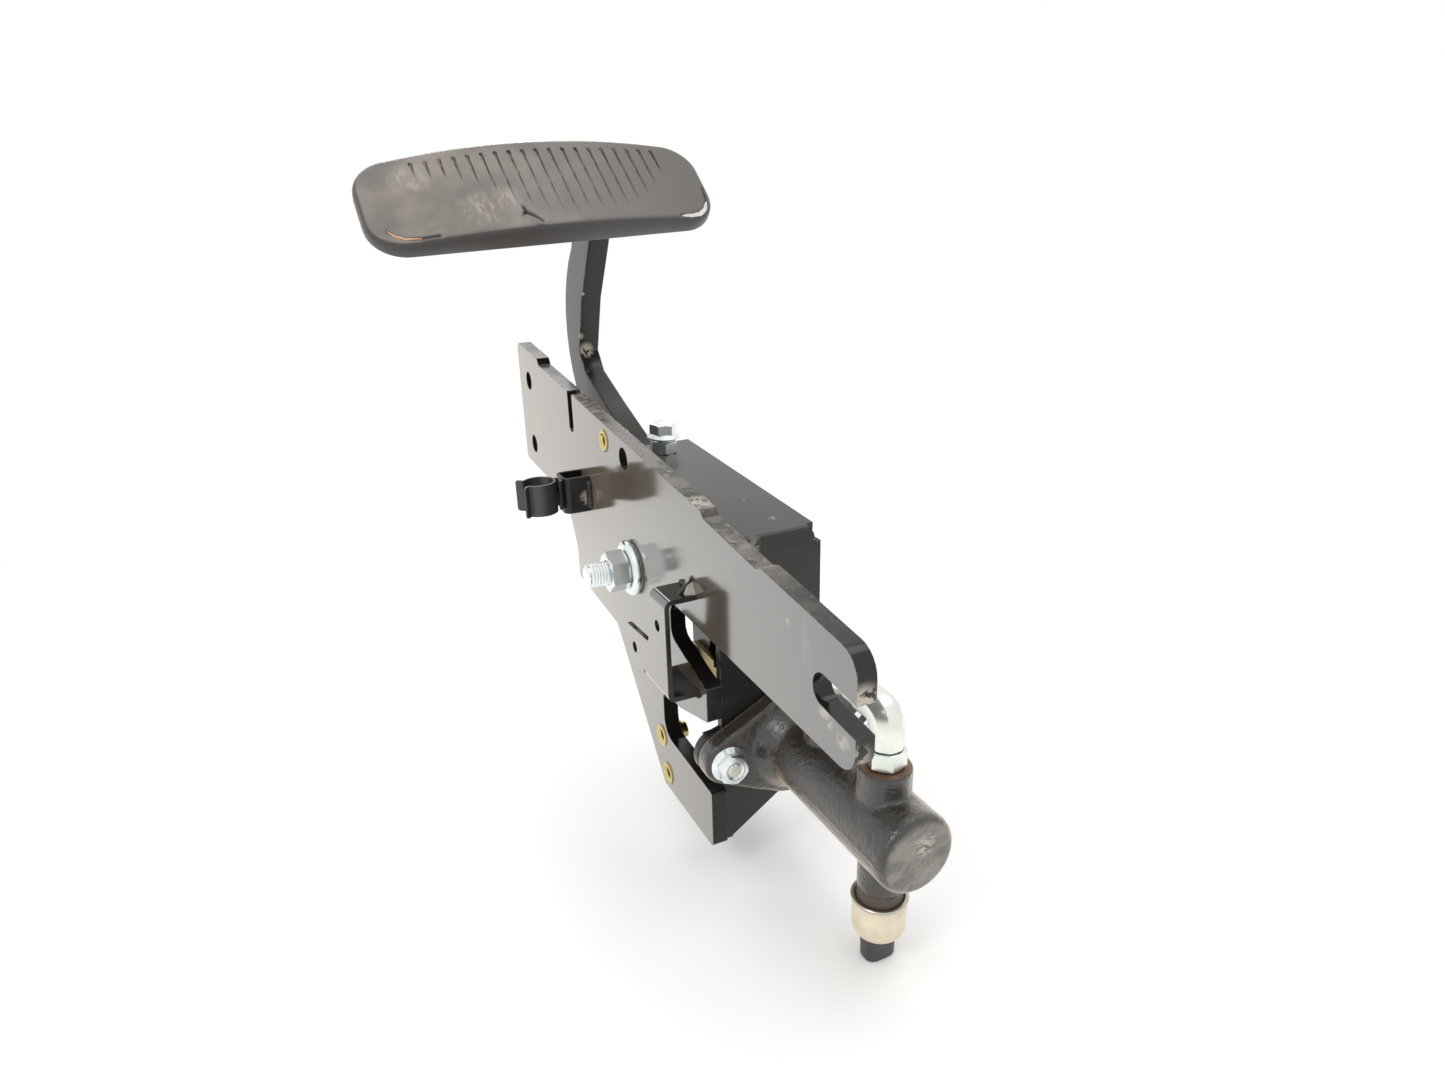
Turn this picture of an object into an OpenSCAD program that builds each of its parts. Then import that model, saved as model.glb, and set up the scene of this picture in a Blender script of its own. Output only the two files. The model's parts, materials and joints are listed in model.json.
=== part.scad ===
// Foot valve: a hydraulic brake valve pushed by a treadle pedal, on its bracket.
// +X runs along the valve to its closed end, +Y from the side plate into the
// housing, +Z up. The origin lies midway between the two rear frame-bolt holes,
// on the outer face of the side plate. Lengths are in millimetres.

/* [Side plate] */
// Thickness of the side plate
plate_t = 10; // [8:0.5:12]
// Distance from the rear bolt holes to the plate's rear edge
rear_margin = 27; // [20:1:36]
// Distance from the pivot to the tips of the fork
fork_reach = 260; // [250:1:280]
// Depth of the leg below the pivot
leg_drop = 145; // [135:1:160]
// Diameter of the holes for the frame bolts
frame_hole_d = 14.5; // [10:0.5:17]
// Height between the two rear frame-bolt holes
rear_pitch = 53; // [48:1:58]
// Width of the fork's open slot
fork_slot_w = 16; // [12:0.5:20]
// Width of the open slot in the top edge
top_slot_w = 9.5; // [7:0.5:13]
// Bore of the threaded inserts, at the crests of an M8 thread
insert_bore_d = 6.8; // [5:0.1:8]

/* [Housing] */
// Distance between the outer faces of the housing's side walls
housing_w = 77; // [74:1:90]
// Thickness of the bent top and front sheet
sheet_t = 5; // [4:0.5:6]
// Thickness of the far side wall
far_wall_t = 6; // [5:0.5:8]
// Distance from the pivot to the front face
front_x = 108; // [104:1:112]
// Height of the front bend's upper edge above the pivot
top_h = 48.5; // [47:0.5:56]
// Fall of the top sheet towards the front, in degrees
top_fall = 3.4; // [2:0.1:5]

/* [Pivot] */
// Distance from the rear frame-bolt holes to the pivot
pivot_x = 219; // [212:1:230]
// Depth of the pivot below the origin
pivot_drop = 60; // [55:1:64]
// Diameter of the pivot bolt
pivot_d = 16; // [14:0.5:18]
// Outer diameter of the pedal's hub tube
hub_d = 36; // [34:1:40]
// Wall of the flanged bushes
bush_wall = 3; // [2:0.5:4]
// Running clearance round the pivot bolt
pivot_fit = 0.05; // [0.02:0.01:0.1]

/* [Pedal] */
// Thickness of the pedal arm
arm_t = 16; // [12:1:18]
// Width of the pedal arm
arm_w = 34; // [30:1:38]
// Thickness of the push lever
lever_t = 6; // [5:0.5:8]
// Turn of the pedal from rest to full travel, in degrees
pedal_travel = 15; // [8:1:18]
// Length of the pad across the foot
pad_l = 250; // [200:2:270]
// Width of the pad along the foot
pad_w = 78; // [70:1:90]
// Tilt of the pad's face towards the foot, in degrees
pad_tilt = 43; // [35:1:50]
// Roll of the pad about the valve's direction, in degrees
pad_roll = 2.4; // [0:0.2:4]
// Thickness of the steel pad plate
pad_plate_t = 5; // [3:0.5:6]
// Thickness of the rubber at the ends of the pad
pad_edge_h = 10; // [9:0.5:13]
// Rise of the rubber's crown above its ends
pad_crown = 9; // [5:0.5:12]
// Number of grooves across the rubber
groove_count = 19; // [8:1:20]
// Width of a groove
groove_w = 3.2; // [2:0.2:4]

/* [Valve] */
// Distance of the valve's axis from the inner face of the far side wall
valve_wall_gap = 16.5; // [16:0.5:20]
// Depth of the valve's axis below the pivot
valve_drop = 82; // [78:1:86]
// Outer diameter of the barrel
barrel_d = 45.5; // [42:0.5:50]
// Length of the valve body from its mounting face
valve_l = 131; // [127:1:150]
// Diameter of the bore
bore_d = 25; // [22:0.5:26]
// Distance between the two flange bolts
stud_pitch = 94; // [90:1:100]
// Thickness of the valve's flange
flange_t = 12; // [9:0.5:15]
// Radius of the flange's ears
ear_r = 14; // [12.5:0.5:15]
// Running clearance round the piston
piston_fit = 0.05; // [0.02:0.01:0.1]
// Diameter of the push rod
rod_d = 10; // [8:0.5:12]
// Diameter of the clevis pin
clevis_pin_d = 10; // [8:0.5:12]
// Diameter of the pressure switch's can
switch_d = 30; // [26:0.5:34]

/* [Small parts] */
// Size of the flange bolts, by thread diameter
bolt_d = 10; // [8:1:12]
// Inner diameter of the hose clip
clip_d = 21; // [16:0.5:24]
// Height of the hose clip and its strap
clip_h = 26; // [20:1:32]
// Stand-off of the accessory bracket from the plate
bracket_off = 20; // [16:1:26]
// Diameter of the accessory bracket's holes
bracket_hole_d = 7; // [5:0.5:9]

/* [Hidden] */
$fn = 64;

// Gap that a loose fit leaves round a fastener
slack = 0.2;
// Gap between faces that stay clear of each other
clear = 0.3;
// Overshoot of a cutting solid past the face it cuts
over = 1;
// Depth at which a link's flanks start inside its round ends
flank_in = 0.05;

// ---- Pivot and housing ----
pivot_r = pivot_d / 2;
hub_r = hub_d / 2;
bush_r = pivot_r + pivot_fit + bush_wall;
bush_flange_t = 2.6;
wall_y = housing_w - far_wall_t;
valve_y = wall_y - valve_wall_gap;
hub_y0 = plate_t + clear + bush_flange_t;
hub_y1 = wall_y - clear - bush_flange_t;
nut_af = 1.5 * pivot_d;
nut_h = 0.81 * pivot_d;
washer_r = 1.16 * pivot_d;
washer_t = 5.5;
thread_out = 14;

// The top sheet bends to the front sheet over a short steep strip.
bend_run = 5;
bend_fall = 8;
top_rear_x = -76;
front_y_cut = 16;
far_drop = 104.6;
front_in = front_x - sheet_t;
function top_z(x) = top_h + (front_x - bend_run - x) * tan(top_fall);

// ---- Valve ----
valve_z = -valve_drop;
gasket_t = 1;
face_x = front_x + gasket_t;
flange_x = face_x + flange_t;
end_x = face_x + valve_l;
barrel_r = barrel_d / 2;
bore_r = bore_d / 2;
bore_end_x = end_x - 14;
rod_hole_r = bore_r + 0.5;
flange_r = barrel_r + 12;
ear_y = stud_pitch / 2;
port_x = end_x - 31;
port_top = barrel_r + 14;
port_r = 14;
port_bore_r = 8;
inlet_x = flange_x + 30;
inlet_top = barrel_r + 9;
inlet_r = 11;
switch_boss_z = barrel_r + 17;
switch_boss_r = 12.5;
switch_stem_r = 6;

// ---- Pedal linkage ----
// The lever swings equally to both sides of straight down, so that its pin
// stays within a fraction of a millimetre of the valve's axis.
half_travel = pedal_travel / 2;
lever_r = 2 * valve_drop / (1 + cos(half_travel));
pin_x = -lever_r * sin(half_travel);
pin_z = -lever_r * cos(half_travel);
stroke = 2 * lever_r * sin(half_travel);
lever_y0 = valve_y - lever_t / 2;
arm_y0 = lever_y0 - arm_t;
rod_r = rod_d / 2;
pin_r = clevis_pin_d / 2;
ring_t = 1.5;
stop_washer_t = 2;
piston_x0 = face_x + 3.2 + ring_t + stop_washer_t + clear;
piston_l = 50;
ball_r = rod_r + 1;
socket_depth = 13;
ball_x = piston_x0 + socket_depth - ball_r - clear;

// ---- Pad ----
pad_x = -153.5;
pad_z = 224;
pad_offset = 39.5;
pad_y = arm_y0 + arm_t / 2 - pad_offset;
pad_corner_r = 26;
pad_bulge = 6;
pad_skirt = 4;

// ---- Fasteners ----
bolt_r = bolt_d / 2;
bolt_af = 1.65 * bolt_d;
bolt_flange_r = 1.13 * bolt_d;
bolt_head_h = 1.05 * bolt_d;
flange_nut_h = 0.95 * bolt_d;
rim_t = 1.8;
stop_x = -58;
stop_y = arm_y0 + arm_t - 2;
stop_reach = 3.5;
stop_gap_h = 10.5;

// ---- Outlines ----
function unit(v) = v / norm(v);

// Points of one corner at b, rounded to radius r between its neighbours a and c
function corner(a, b, c, r) =
    r == 0 ? [b] :
    let (u = unit(a - b), v = unit(c - b), half = acos(u * v) / 2,
         middle = b + unit(u + v) * r / sin(half),
         from = b + u * r / tan(half) - middle,
         to = b + v * r / tan(half) - middle,
         start = atan2(from[1], from[0]),
         turn = (atan2(to[1], to[0]) - start + 540) % 360 - 180,
         steps = max(2, ceil(abs(turn) / 15)))
    [for (i = [0:steps]) middle + r * [cos(start + turn * i / steps), sin(start + turn * i / steps)]];

// Closed outline through [x, z, corner radius] points
function rounded(p) =
    let (n = len(p), flat = [for (q = p) [q[0], q[1]]])
    [for (i = [0:n - 1]) each corner(flat[(i + n - 1) % n], flat[i], flat[(i + 1) % n], p[i][2])];

// The window lets the valve's near ear and its bolt through the side plate.
window_left = 43;
window_roof = valve_z + ear_r + 8;
window_floor = valve_z - ear_r - 9;
finger_tip_x = front_x + 2;
leg_front_x = front_x + 5;
rear_x = -pivot_x - rear_margin;
fork_slot_x = fork_reach - 27;

plate_outline = rounded([
    [rear_x, 115, 6], [-190, 109, 2], [-186, 104, 3],
    [leg_front_x - 5, 72.5, 3], [leg_front_x, 68.5, 3], [171, 61, 3], [177, 63, 3],
    [fork_reach, 53, 14], [fork_reach, -6, 12],
    [61, 0.5, 9], [61, -23, 8], [88, -31, 10],
    [finger_tip_x, -37, 1], [finger_tip_x, window_roof + 1.5, 1],
    [71, window_roof - 9, 8], [window_left, window_roof - 11, 6],
    [window_left, window_floor + 3, 12],
    [leg_front_x, window_floor - 1, 2], [leg_front_x, -leg_drop, 3],
    [39, -leg_drop + 1.5, 4], [-38, -57, 8], [-120, -50, 3],
    [-120, -25, 8], [-140, 9, 8], [rear_x, 16, 5]]);

// Round link: a circle of radius big at the origin, one of radius small at
// distance d along X, and straight flanks that start just inside both
module link_2d(big, small, d) {
    s = (big - small) / d;
    c = sqrt(1 - s * s);
    big_in = big - flank_in;
    small_in = small - flank_in;
    circle(big);
    translate([d, 0])
        circle(small);
    polygon([[big_in * s, -big_in * c], [d + small_in * s, -small_in * c],
        [d + small_in * s, small_in * c], [big_in * s, big_in * c]]);
}

// ---- Placing ----
module at_pivot() {
    translate([pivot_x, 0, -pivot_drop])
        children();
}

// Sheet of thickness t in the XZ plane, growing towards +Y
module sheet_xz(t) {
    translate([0, t, 0])
        rotate([90, 0, 0])
            linear_extrude(t)
                children();
}

// Sheet of thickness t in the YZ plane, growing towards +X
module sheet_yz(t) {
    rotate([90, 0, 90])
        linear_extrude(t)
            children();
}

module along_x() {
    rotate([0, 90, 0])
        children();
}

module along_y() {
    rotate([-90, 0, 0])
        children();
}

// On the valve's axis, where the pivot's X is zero
module on_valve_axis() {
    at_pivot()
        translate([0, valve_y, valve_z])
            children();
}

// On the pad: X runs down the slope, Y along the pad, Z out of its face
module at_pad() {
    at_pivot()
        translate([pad_x, pad_y, pad_z])
            rotate([pad_roll, 0, 0])
                rotate([0, pad_tilt, 0])
                    children();
}

// On the top sheet above the arm, square to the sheet
module at_stop() {
    at_pivot()
        translate([stop_x, stop_y, top_z(stop_x)])
            rotate([0, top_fall, 0])
                children();
}

// At each of the two flange bolts, at distance x along the valve
module at_studs(x) {
    for (side = [-1, 1])
        on_valve_axis()
            translate([x, side * ear_y, 0])
                along_x()
                    children();
}

// ---- Fastener shapes, standing on the XY plane ----
module hexagon(af, h) {
    cylinder(d = af / cos(30), h = h, $fn = 6);
}

module flanged_hex(af, h, rim_r) {
    cylinder(r = rim_r, h = rim_t);
    translate([0, 0, rim_t])
        cylinder(r1 = rim_r - 0.6, r2 = af / 2, h = rim_t);
    hexagon(af, h);
}

module flange_nut(af, h, rim_r, bore_radius) {
    difference() {
        flanged_hex(af, h, rim_r);
        translate([0, 0, -over])
            cylinder(r = bore_radius, h = h + 2 * over);
    }
}

// ---- Frame ----
frame_hole_x = -5.7;
frame_hole_z = 72.5;
insert_places = [[-41, 76.5], [37.5, -107], [45.5, -132]];
insert_r = 5.5;
insert_flange_r = 7.5;
insert_flange_t = 1;

module side_plate() {
    color("dimgray")
        difference() {
            at_pivot()
                sheet_xz(plate_t)
                    polygon(plate_outline);
            for (z = [-rear_pitch / 2, rear_pitch / 2])
                translate([0, -over, z])
                    along_y()
                        cylinder(d = frame_hole_d, h = plate_t + 2 * over);
            at_pivot() {
                translate([frame_hole_x, -over, frame_hole_z])
                    along_y()
                        cylinder(d = frame_hole_d, h = plate_t + 2 * over);
                translate([0, -over, 0])
                    along_y()
                        cylinder(r = pivot_r + slack, h = plate_t + 2 * over);
                for (place = insert_places)
                    translate([place[0], -over, place[1]])
                        along_y()
                            cylinder(r = insert_r + slack, h = plate_t + 2 * over);
                top_slot();
                fork_slot();
            }
        }
}

top_slot_x = -111;
top_slot_end_z = 72;

module top_slot() {
    translate([top_slot_x, -over, top_slot_end_z])
        along_y()
            cylinder(d = top_slot_w, h = plate_t + 2 * over);
    translate([top_slot_x - top_slot_w / 2, -over, top_slot_end_z])
        cube([top_slot_w, plate_t + 2 * over, 40]);
}

fork_slot_z = 25;
fork_slot_fall = 6;

module fork_slot() {
    translate([fork_slot_x, -over, fork_slot_z])
        rotate([0, fork_slot_fall, 0]) {
            along_y()
                cylinder(d = fork_slot_w, h = plate_t + 2 * over);
            translate([0, 0, -fork_slot_w / 2])
                cube([40, plate_t + 2 * over, fork_slot_w]);
        }
}

module rivet_nuts() {
    insert_l = plate_t + 7;
    color("gold")
        for (place = insert_places)
            at_pivot()
                translate([place[0], -insert_flange_t, place[1]])
                    along_y()
                        difference() {
                            union() {
                                cylinder(r = insert_flange_r, h = insert_flange_t);
                                cylinder(r = insert_r, h = insert_flange_t + insert_l);
                                translate([0, 0, insert_flange_t + plate_t])
                                    cylinder(r = insert_r + 1.4, h = 4);
                            }
                            translate([0, 0, -over])
                                cylinder(d = insert_bore_d, h = insert_l + insert_flange_t + 2 * over);
                        }
}

// The bent sheet seen along Y: top, steep strip, front
module housing_profile() {
    bend_x = front_x - bend_run;
    polygon([[top_rear_x, top_z(top_rear_x)], [bend_x, top_h], [front_x, top_h - bend_fall],
        [front_x, -leg_drop - 1], [front_in, -leg_drop - 1],
        [front_in, top_h - bend_fall - 1.5], [bend_x - sheet_t / 2, top_h - sheet_t],
        [top_rear_x, top_z(top_rear_x) - sheet_t]]);
}

// Outline of the valve's flange and of the tabs behind it
module flange_2d(r) {
    for (side = [0, 180])
        rotate(side)
            link_2d(r, ear_r, ear_y);
}

module housing_sheet() {
    color("dimgray")
        difference() {
            union() {
                at_pivot()
                    translate([0, plate_t, 0])
                        difference() {
                            sheet_xz(housing_w - plate_t)
                                housing_profile();
                            front_trim();
                            bend_notch();
                        }
                on_valve_axis()
                    translate([front_in, 0, 0])
                        sheet_yz(sheet_t)
                            flange_2d(flange_r - 8);
            }
            on_valve_axis()
                translate([front_in - over, 0, 0])
                    along_x()
                        cylinder(r = rod_hole_r, h = sheet_t + 2 * over);
            at_studs(front_in - over)
                cylinder(r = bolt_r + slack, h = sheet_t + 2 * over);
            at_stop()
                translate([0, 0, -3 * sheet_t])
                    cylinder(r = bolt_r + slack, h = 4 * sheet_t);
        }
}

// The front sheet's lower edge climbs away from the side plate.
module front_trim() {
    translate([front_in - over, 0, 0])
        sheet_yz(sheet_t + 2 * over)
            polygon([[front_y_cut - plate_t, -leg_drop - 2], [housing_w, -leg_drop - 2],
                [housing_w, -far_drop], [housing_w - plate_t, -far_drop],
                [front_y_cut - plate_t, -leg_drop]]);
}

// Relief where the bend meets the far side
module bend_notch() {
    translate([front_x - bend_run - 4, housing_w - plate_t - 5, top_h - bend_fall])
        cube([bend_run + 5, 6, bend_fall + 4]);
}

module far_wall() {
    foot_x = -48;
    foot_z = -42;
    toe_x = 60;
    color("dimgray")
        at_pivot()
            difference() {
                translate([0, wall_y, 0])
                    sheet_xz(far_wall_t)
                        polygon([[top_rear_x + 4, top_z(top_rear_x + 4) - sheet_t - 0.05],
                            [front_x - bend_run - sheet_t / 2, top_h - sheet_t - 0.05],
                            [front_in, top_h - bend_fall - 1.5], [front_in, -far_drop],
                            [toe_x, -far_drop], [foot_x, foot_z], [top_rear_x + 4, 10]]);
                translate([0, wall_y - over, 0])
                    along_y()
                        cylinder(r = pivot_r + slack, h = far_wall_t + 2 * over);
            }
}

// ---- Accessory bracket, standing off the outer face of the plate ----
bracket_t = 3;
bracket_right = finger_tip_x - 9;
bracket_left = bracket_right - 22;
bracket_top = 19.5;
bracket_foot = -45;
bracket_ear_x = bracket_right - 63;
bracket_holes = [[bracket_right - 12, 0], [bracket_right - 51, -31]];

bracket_bend_r = 5;

// A flange with its bend: turn is 1 where the flange lies above the web, -1 below
module bracket_flange(x0, x1, z, turn) {
    bend = [[0, z, 0.2], [-bracket_off, z, bracket_bend_r], [-bracket_off, z - turn * 12, 0.2],
        [bracket_t - bracket_off, z - turn * 12, 0.2],
        [bracket_t - bracket_off, z - turn * bracket_t, bracket_bend_r - bracket_t],
        [0, z - turn * bracket_t, 0.2]];
    translate([x0, 0, 0])
        sheet_yz(x1 - x0)
            polygon(rounded(turn > 0 ? bend : [for (i = [5:-1:0]) bend[i]]));
}

module accessory_bracket() {
    foot_left = bracket_left - 14;
    color("dimgray")
        at_pivot()
            difference() {
                union() {
                    translate([0, -bracket_off, 0])
                        sheet_xz(bracket_t)
                            polygon(rounded([[bracket_left - 0.5, bracket_top - bracket_bend_r - 1, 0.2],
                                [bracket_right, bracket_top - bracket_bend_r - 1, 0.2],
                                [bracket_right, bracket_foot + bracket_bend_r + 1, 0.2],
                                [foot_left, bracket_foot + bracket_bend_r + 1, 0.2],
                                [foot_left - 2, bracket_foot + 2, 1], [bracket_ear_x, bracket_foot + 3, 1],
                                [bracket_ear_x, -19, 1], [bracket_left - 5, -17, 4]]));
                    bracket_flange(bracket_left, bracket_right, bracket_top, 1);
                    bracket_flange(foot_left, bracket_right, bracket_foot, -1);
                }
                for (hole = bracket_holes)
                    translate([hole[0], -bracket_off - over, hole[1]])
                        along_y()
                            cylinder(d = bracket_hole_d, h = bracket_t + 2 * over);
            }
}

module bracket_gusset() {
    gusset_h = 9;
    color("gray")
        at_pivot()
            translate([bracket_right - 8, 0, bracket_top])
                sheet_yz(bracket_t)
                    polygon([[0, 0], [0, gusset_h], [-gusset_h, 0]]);
}

// ---- Hose clip on its strap ----
strap_t = 2.5;
strap_off = 17;
strap_right = -77;
strap_left = strap_right - 21;
clip_t = 1.6;
clip_x = strap_right - 6;
clip_z = 16.5;
clip_r = clip_d / 2;
clip_neck_l = 4;
clip_y = -strap_off - strap_t - clip_neck_l - clip_t - clip_r;

module clip_strap() {
    color("dimgray")
        at_pivot()
            translate([0, 0, clip_z])
                difference() {
                    linear_extrude(clip_h)
                        polygon([[strap_left, 0], [strap_left, -strap_off - strap_t],
                            [strap_right, -strap_off - strap_t], [strap_right, 0],
                            [strap_right - strap_t, 0], [strap_right - strap_t, -strap_off],
                            [strap_left + strap_t, -strap_off], [strap_left + strap_t, 0]]);
                    translate([clip_x, -strap_off - strap_t - over, clip_h / 2])
                        along_y()
                            cylinder(r = rivet_r, h = strap_t + 2 * over);
                }
}

rivet_r = 2.5;

// Spring clip: most of a ring, open away from the plate, with turned-out lips
module hose_clip() {
    ring_lift = 3.5;
    ring_h = clip_h - ring_lift;
    mouth = 38;
    mouth_reach = 3 * clip_d;
    lip_l = 6;
    lip_root = 0.5;
    neck_w = 8;
    color("dimgray")
        at_pivot()
            translate([clip_x, clip_y, clip_z + ring_lift])
                difference() {
                    linear_extrude(ring_h)
                        difference() {
                            union() {
                                difference() {
                                    circle(r = clip_r + clip_t);
                                    polygon([[0, 0], mouth_reach * [-sin(mouth), -cos(mouth)],
                                        mouth_reach * [sin(mouth), -cos(mouth)]]);
                                }
                                for (side = [-1, 1])
                                    translate((clip_r + clip_t / 2) * [side * sin(mouth), -cos(mouth)])
                                        rotate(side * mouth)
                                            translate([-clip_t / 2, -lip_l])
                                                square([clip_t, lip_l + lip_root]);
                                translate([-neck_w / 2, clip_r + clip_t / 2])
                                    square([neck_w, clip_t / 2 + clip_neck_l]);
                            }
                            circle(r = clip_r);
                        }
                    translate([0, clip_r, clip_h / 2 - ring_lift])
                        along_y()
                            cylinder(r = rivet_r, h = 20);
                }
}

module clip_rivet() {
    head_y = clip_y + clip_r + 1.4;
    flare = 0.7;
    color("gray")
        at_pivot()
            translate([clip_x, 0, clip_z + clip_h / 2]) {
                translate([0, head_y, 0])
                    along_y()
                        cylinder(r = rivet_r - pivot_fit, h = -strap_off - head_y + 0.5);
                translate([0, -strap_off + 0.01, 0])
                    along_y()
                        cylinder(r1 = rivet_r + flare, r2 = rivet_r, h = 1.5);
            }
}

// ---- Pivot hardware ----
module pivot_bolt() {
    out = washer_t + nut_h + thread_out;
    head_h = 0.62 * pivot_d;
    color("silver")
        at_pivot() {
            translate([0, -out, 0])
                along_y()
                    cylinder(r = pivot_r, h = out + housing_w + head_h / 2);
            translate([0, housing_w, 0])
                along_y()
                    hexagon(nut_af, head_h);
        }
}

module pivot_nut() {
    color("silver")
        at_pivot()
            translate([0, -washer_t - nut_h, 0])
                along_y()
                    difference() {
                        hexagon(nut_af, nut_h);
                        translate([0, 0, -over])
                            cylinder(r = pivot_r + pivot_fit, h = nut_h + 2 * over);
                    }
}

module pivot_washer() {
    color("silver")
        at_pivot()
            translate([0, -washer_t, 0])
                along_y()
                    difference() {
                        cylinder(r = washer_r, h = washer_t);
                        translate([0, 0, -over])
                            cylinder(r = pivot_r + slack, h = washer_t + 2 * over);
                    }
}

// The stop bolt's tip meets the arm's upper edge when the pedal is up.
module stop_bolt() {
    color("silver")
        at_stop() {
            translate([0, 0, -sheet_t - stop_reach])
                cylinder(r = bolt_r, h = sheet_t + stop_reach + stop_gap_h);
            translate([0, 0, stop_gap_h])
                flanged_hex(bolt_af, bolt_head_h, bolt_flange_r);
        }
}

module stop_nut() {
    color("silver")
        at_stop()
            flange_nut(bolt_af, 0.85 * bolt_d, bolt_flange_r - 1.2, bolt_r);
}

// ---- Pedal ----
// Upper edge of the arm under the stop bolt, one clearance below its tip
function arm_stop_z(x) = top_z(x) - (sheet_t + stop_reach + clear) / cos(top_fall);

bend_in = [-190, 111];
arm_sweep = [-134, 127];
arm_sweep_r = 86;
sweep_from = 132;
sweep_to = 214;

module pedal_arm_outline() {
    eye_r = hub_r + 7;
    sweep_gap = arm_w - 34;
    polygon(concat(
        [[-115, 266], [-158, 266]],
        [for (a = [sweep_from:(sweep_to - sweep_from) / 8:sweep_to])
            arm_sweep + (arm_sweep_r + sweep_gap) * [cos(a), sin(a)]],
        [[-152, 80 - arm_w], [-75, 52 - arm_w], [-eye_r * sin(25), -eye_r * cos(25)], [0, -hub_r],
            [hub_r, 0], [10, 22], [-10, eye_r + 2], [stop_x + 14, arm_stop_z(stop_x + 14)],
            [stop_x - 14, arm_stop_z(stop_x - 14)], [-92, 62.5], [-135, 78.5], [-178, 96],
            bend_in, [-175, 153], [-148, 197]]));
}

module pedal_arm() {
    color("dimgray")
        difference() {
            at_pivot()
                translate([0, arm_y0, 0])
                    sheet_xz(arm_t)
                        union() {
                            pedal_arm_outline();
                            circle(hub_r + 7);
                        }
            at_pivot()
                translate([0, arm_y0 - over, 0])
                    along_y()
                        cylinder(r = hub_r + pivot_fit, h = arm_t + 2 * over);
            at_pad()
                translate([-pad_w, -pad_l, 0])
                    cube([2 * pad_w, 2 * pad_l, 2 * pad_w]);
        }
}

module pedal_hub() {
    color("dimgray")
        at_pivot()
            translate([0, hub_y0, 0])
                along_y()
                    difference() {
                        cylinder(r = hub_r, h = hub_y1 - hub_y0);
                        translate([0, 0, -over])
                            cylinder(r = bush_r + pivot_fit, h = hub_y1 - hub_y0 + 2 * over);
                    }
}

bush_l = 18;

module pivot_bush() {
    difference() {
        union() {
            cylinder(r = hub_r - 2, h = bush_flange_t);
            cylinder(r = bush_r, h = bush_flange_t + bush_l);
        }
        translate([0, 0, -over])
            cylinder(r = pivot_r + pivot_fit, h = bush_flange_t + bush_l + 2 * over);
    }
}

module pivot_bushes() {
    color("goldenrod")
        at_pivot() {
            translate([0, hub_y0 - bush_flange_t, 0])
                along_y()
                    pivot_bush();
            translate([0, hub_y1 + bush_flange_t, 0])
                rotate([90, 0, 0])
                    pivot_bush();
        }
}

module push_lever() {
    lean = atan2(pin_x, -pin_z);
    color("dimgray")
        at_pivot()
            translate([0, lever_y0, 0])
                difference() {
                    sheet_xz(lever_t)
                        rotate(-90 + lean)
                            link_2d(hub_r + 7, pin_r + 6.5, lever_r);
                    translate([0, -over, 0])
                        along_y()
                            cylinder(r = hub_r + pivot_fit, h = lever_t + 2 * over);
                    translate([pin_x, -over, pin_z])
                        along_y()
                            cylinder(r = pin_r + pivot_fit, h = lever_t + 2 * over);
                }
}

// Outline of the pad, drawn in by inset on every side: a rounded oblong whose
// upper long edge bows out
module pad_2d(inset) {
    half_l = pad_l / 2 - inset;
    half_w = pad_w / 2 - inset;
    r = pad_corner_r - inset;
    straight = half_l - r;
    bow_r = (straight * straight + pad_bulge * pad_bulge) / (2 * pad_bulge);
    for (side = [-1, 1])
        for (end = [-1, 1])
            translate([side * (half_w - r), end * straight])
                circle(r);
    square([2 * half_w, 2 * straight], center = true);
    square([2 * (half_w - r), 2 * half_l], center = true);
    intersection() {
        translate([-half_w - pad_bulge + bow_r, 0])
            circle(bow_r, $fn = 180);
        translate([-half_w - pad_bulge, -straight])
            square([half_w, 2 * straight]);
    }
}

module pad_plate() {
    color("gray")
        at_pad()
            linear_extrude(pad_plate_t)
                pad_2d(pad_skirt + clear);
}

module pad_rubber() {
    crown_r = (pad_l * pad_l / 4 + pad_crown * pad_crown) / (2 * pad_crown);
    groove_span = 0.74 * pad_l;
    groove_l = 0.76 * pad_w;
    groove_depth = 2.2;
    color("darkslategray")
        at_pad()
            difference() {
                intersection() {
                    linear_extrude(2 * pad_edge_h + pad_crown)
                        pad_2d(0);
                    translate([-pad_w, 0, pad_edge_h + pad_crown - crown_r])
                        along_x()
                            cylinder(r = crown_r, h = 2 * pad_w, $fn = 240);
                }
                translate([0, 0, -over])
                    linear_extrude(pad_plate_t + over)
                        pad_2d(pad_skirt);
                for (i = [0:groove_count - 1]) {
                    y = groove_span * (i / (groove_count - 1) - 0.5);
                    drop = crown_r - sqrt(crown_r * crown_r - y * y);
                    translate([-groove_l / 2 - 2, y - groove_w / 2,
                        pad_edge_h + pad_crown - drop - groove_depth])
                        cube([groove_l, groove_w, 2 * groove_depth]);
                }
            }
}

// ---- Push rod ----
clevis_gap = lever_t + 2 * clear;
clevis_ear_t = 4;
clevis_w = clevis_gap + 2 * clevis_ear_t;
clevis_h = 2 * (pin_r + 5);
clevis_crotch_x = pin_x + pin_r + 6.5 + 4;
clevis_end_x = clevis_crotch_x + 16;

// On the axis of the push rod, where the pivot's X is zero
module on_rod() {
    at_pivot()
        translate([0, valve_y, pin_z])
            children();
}

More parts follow.
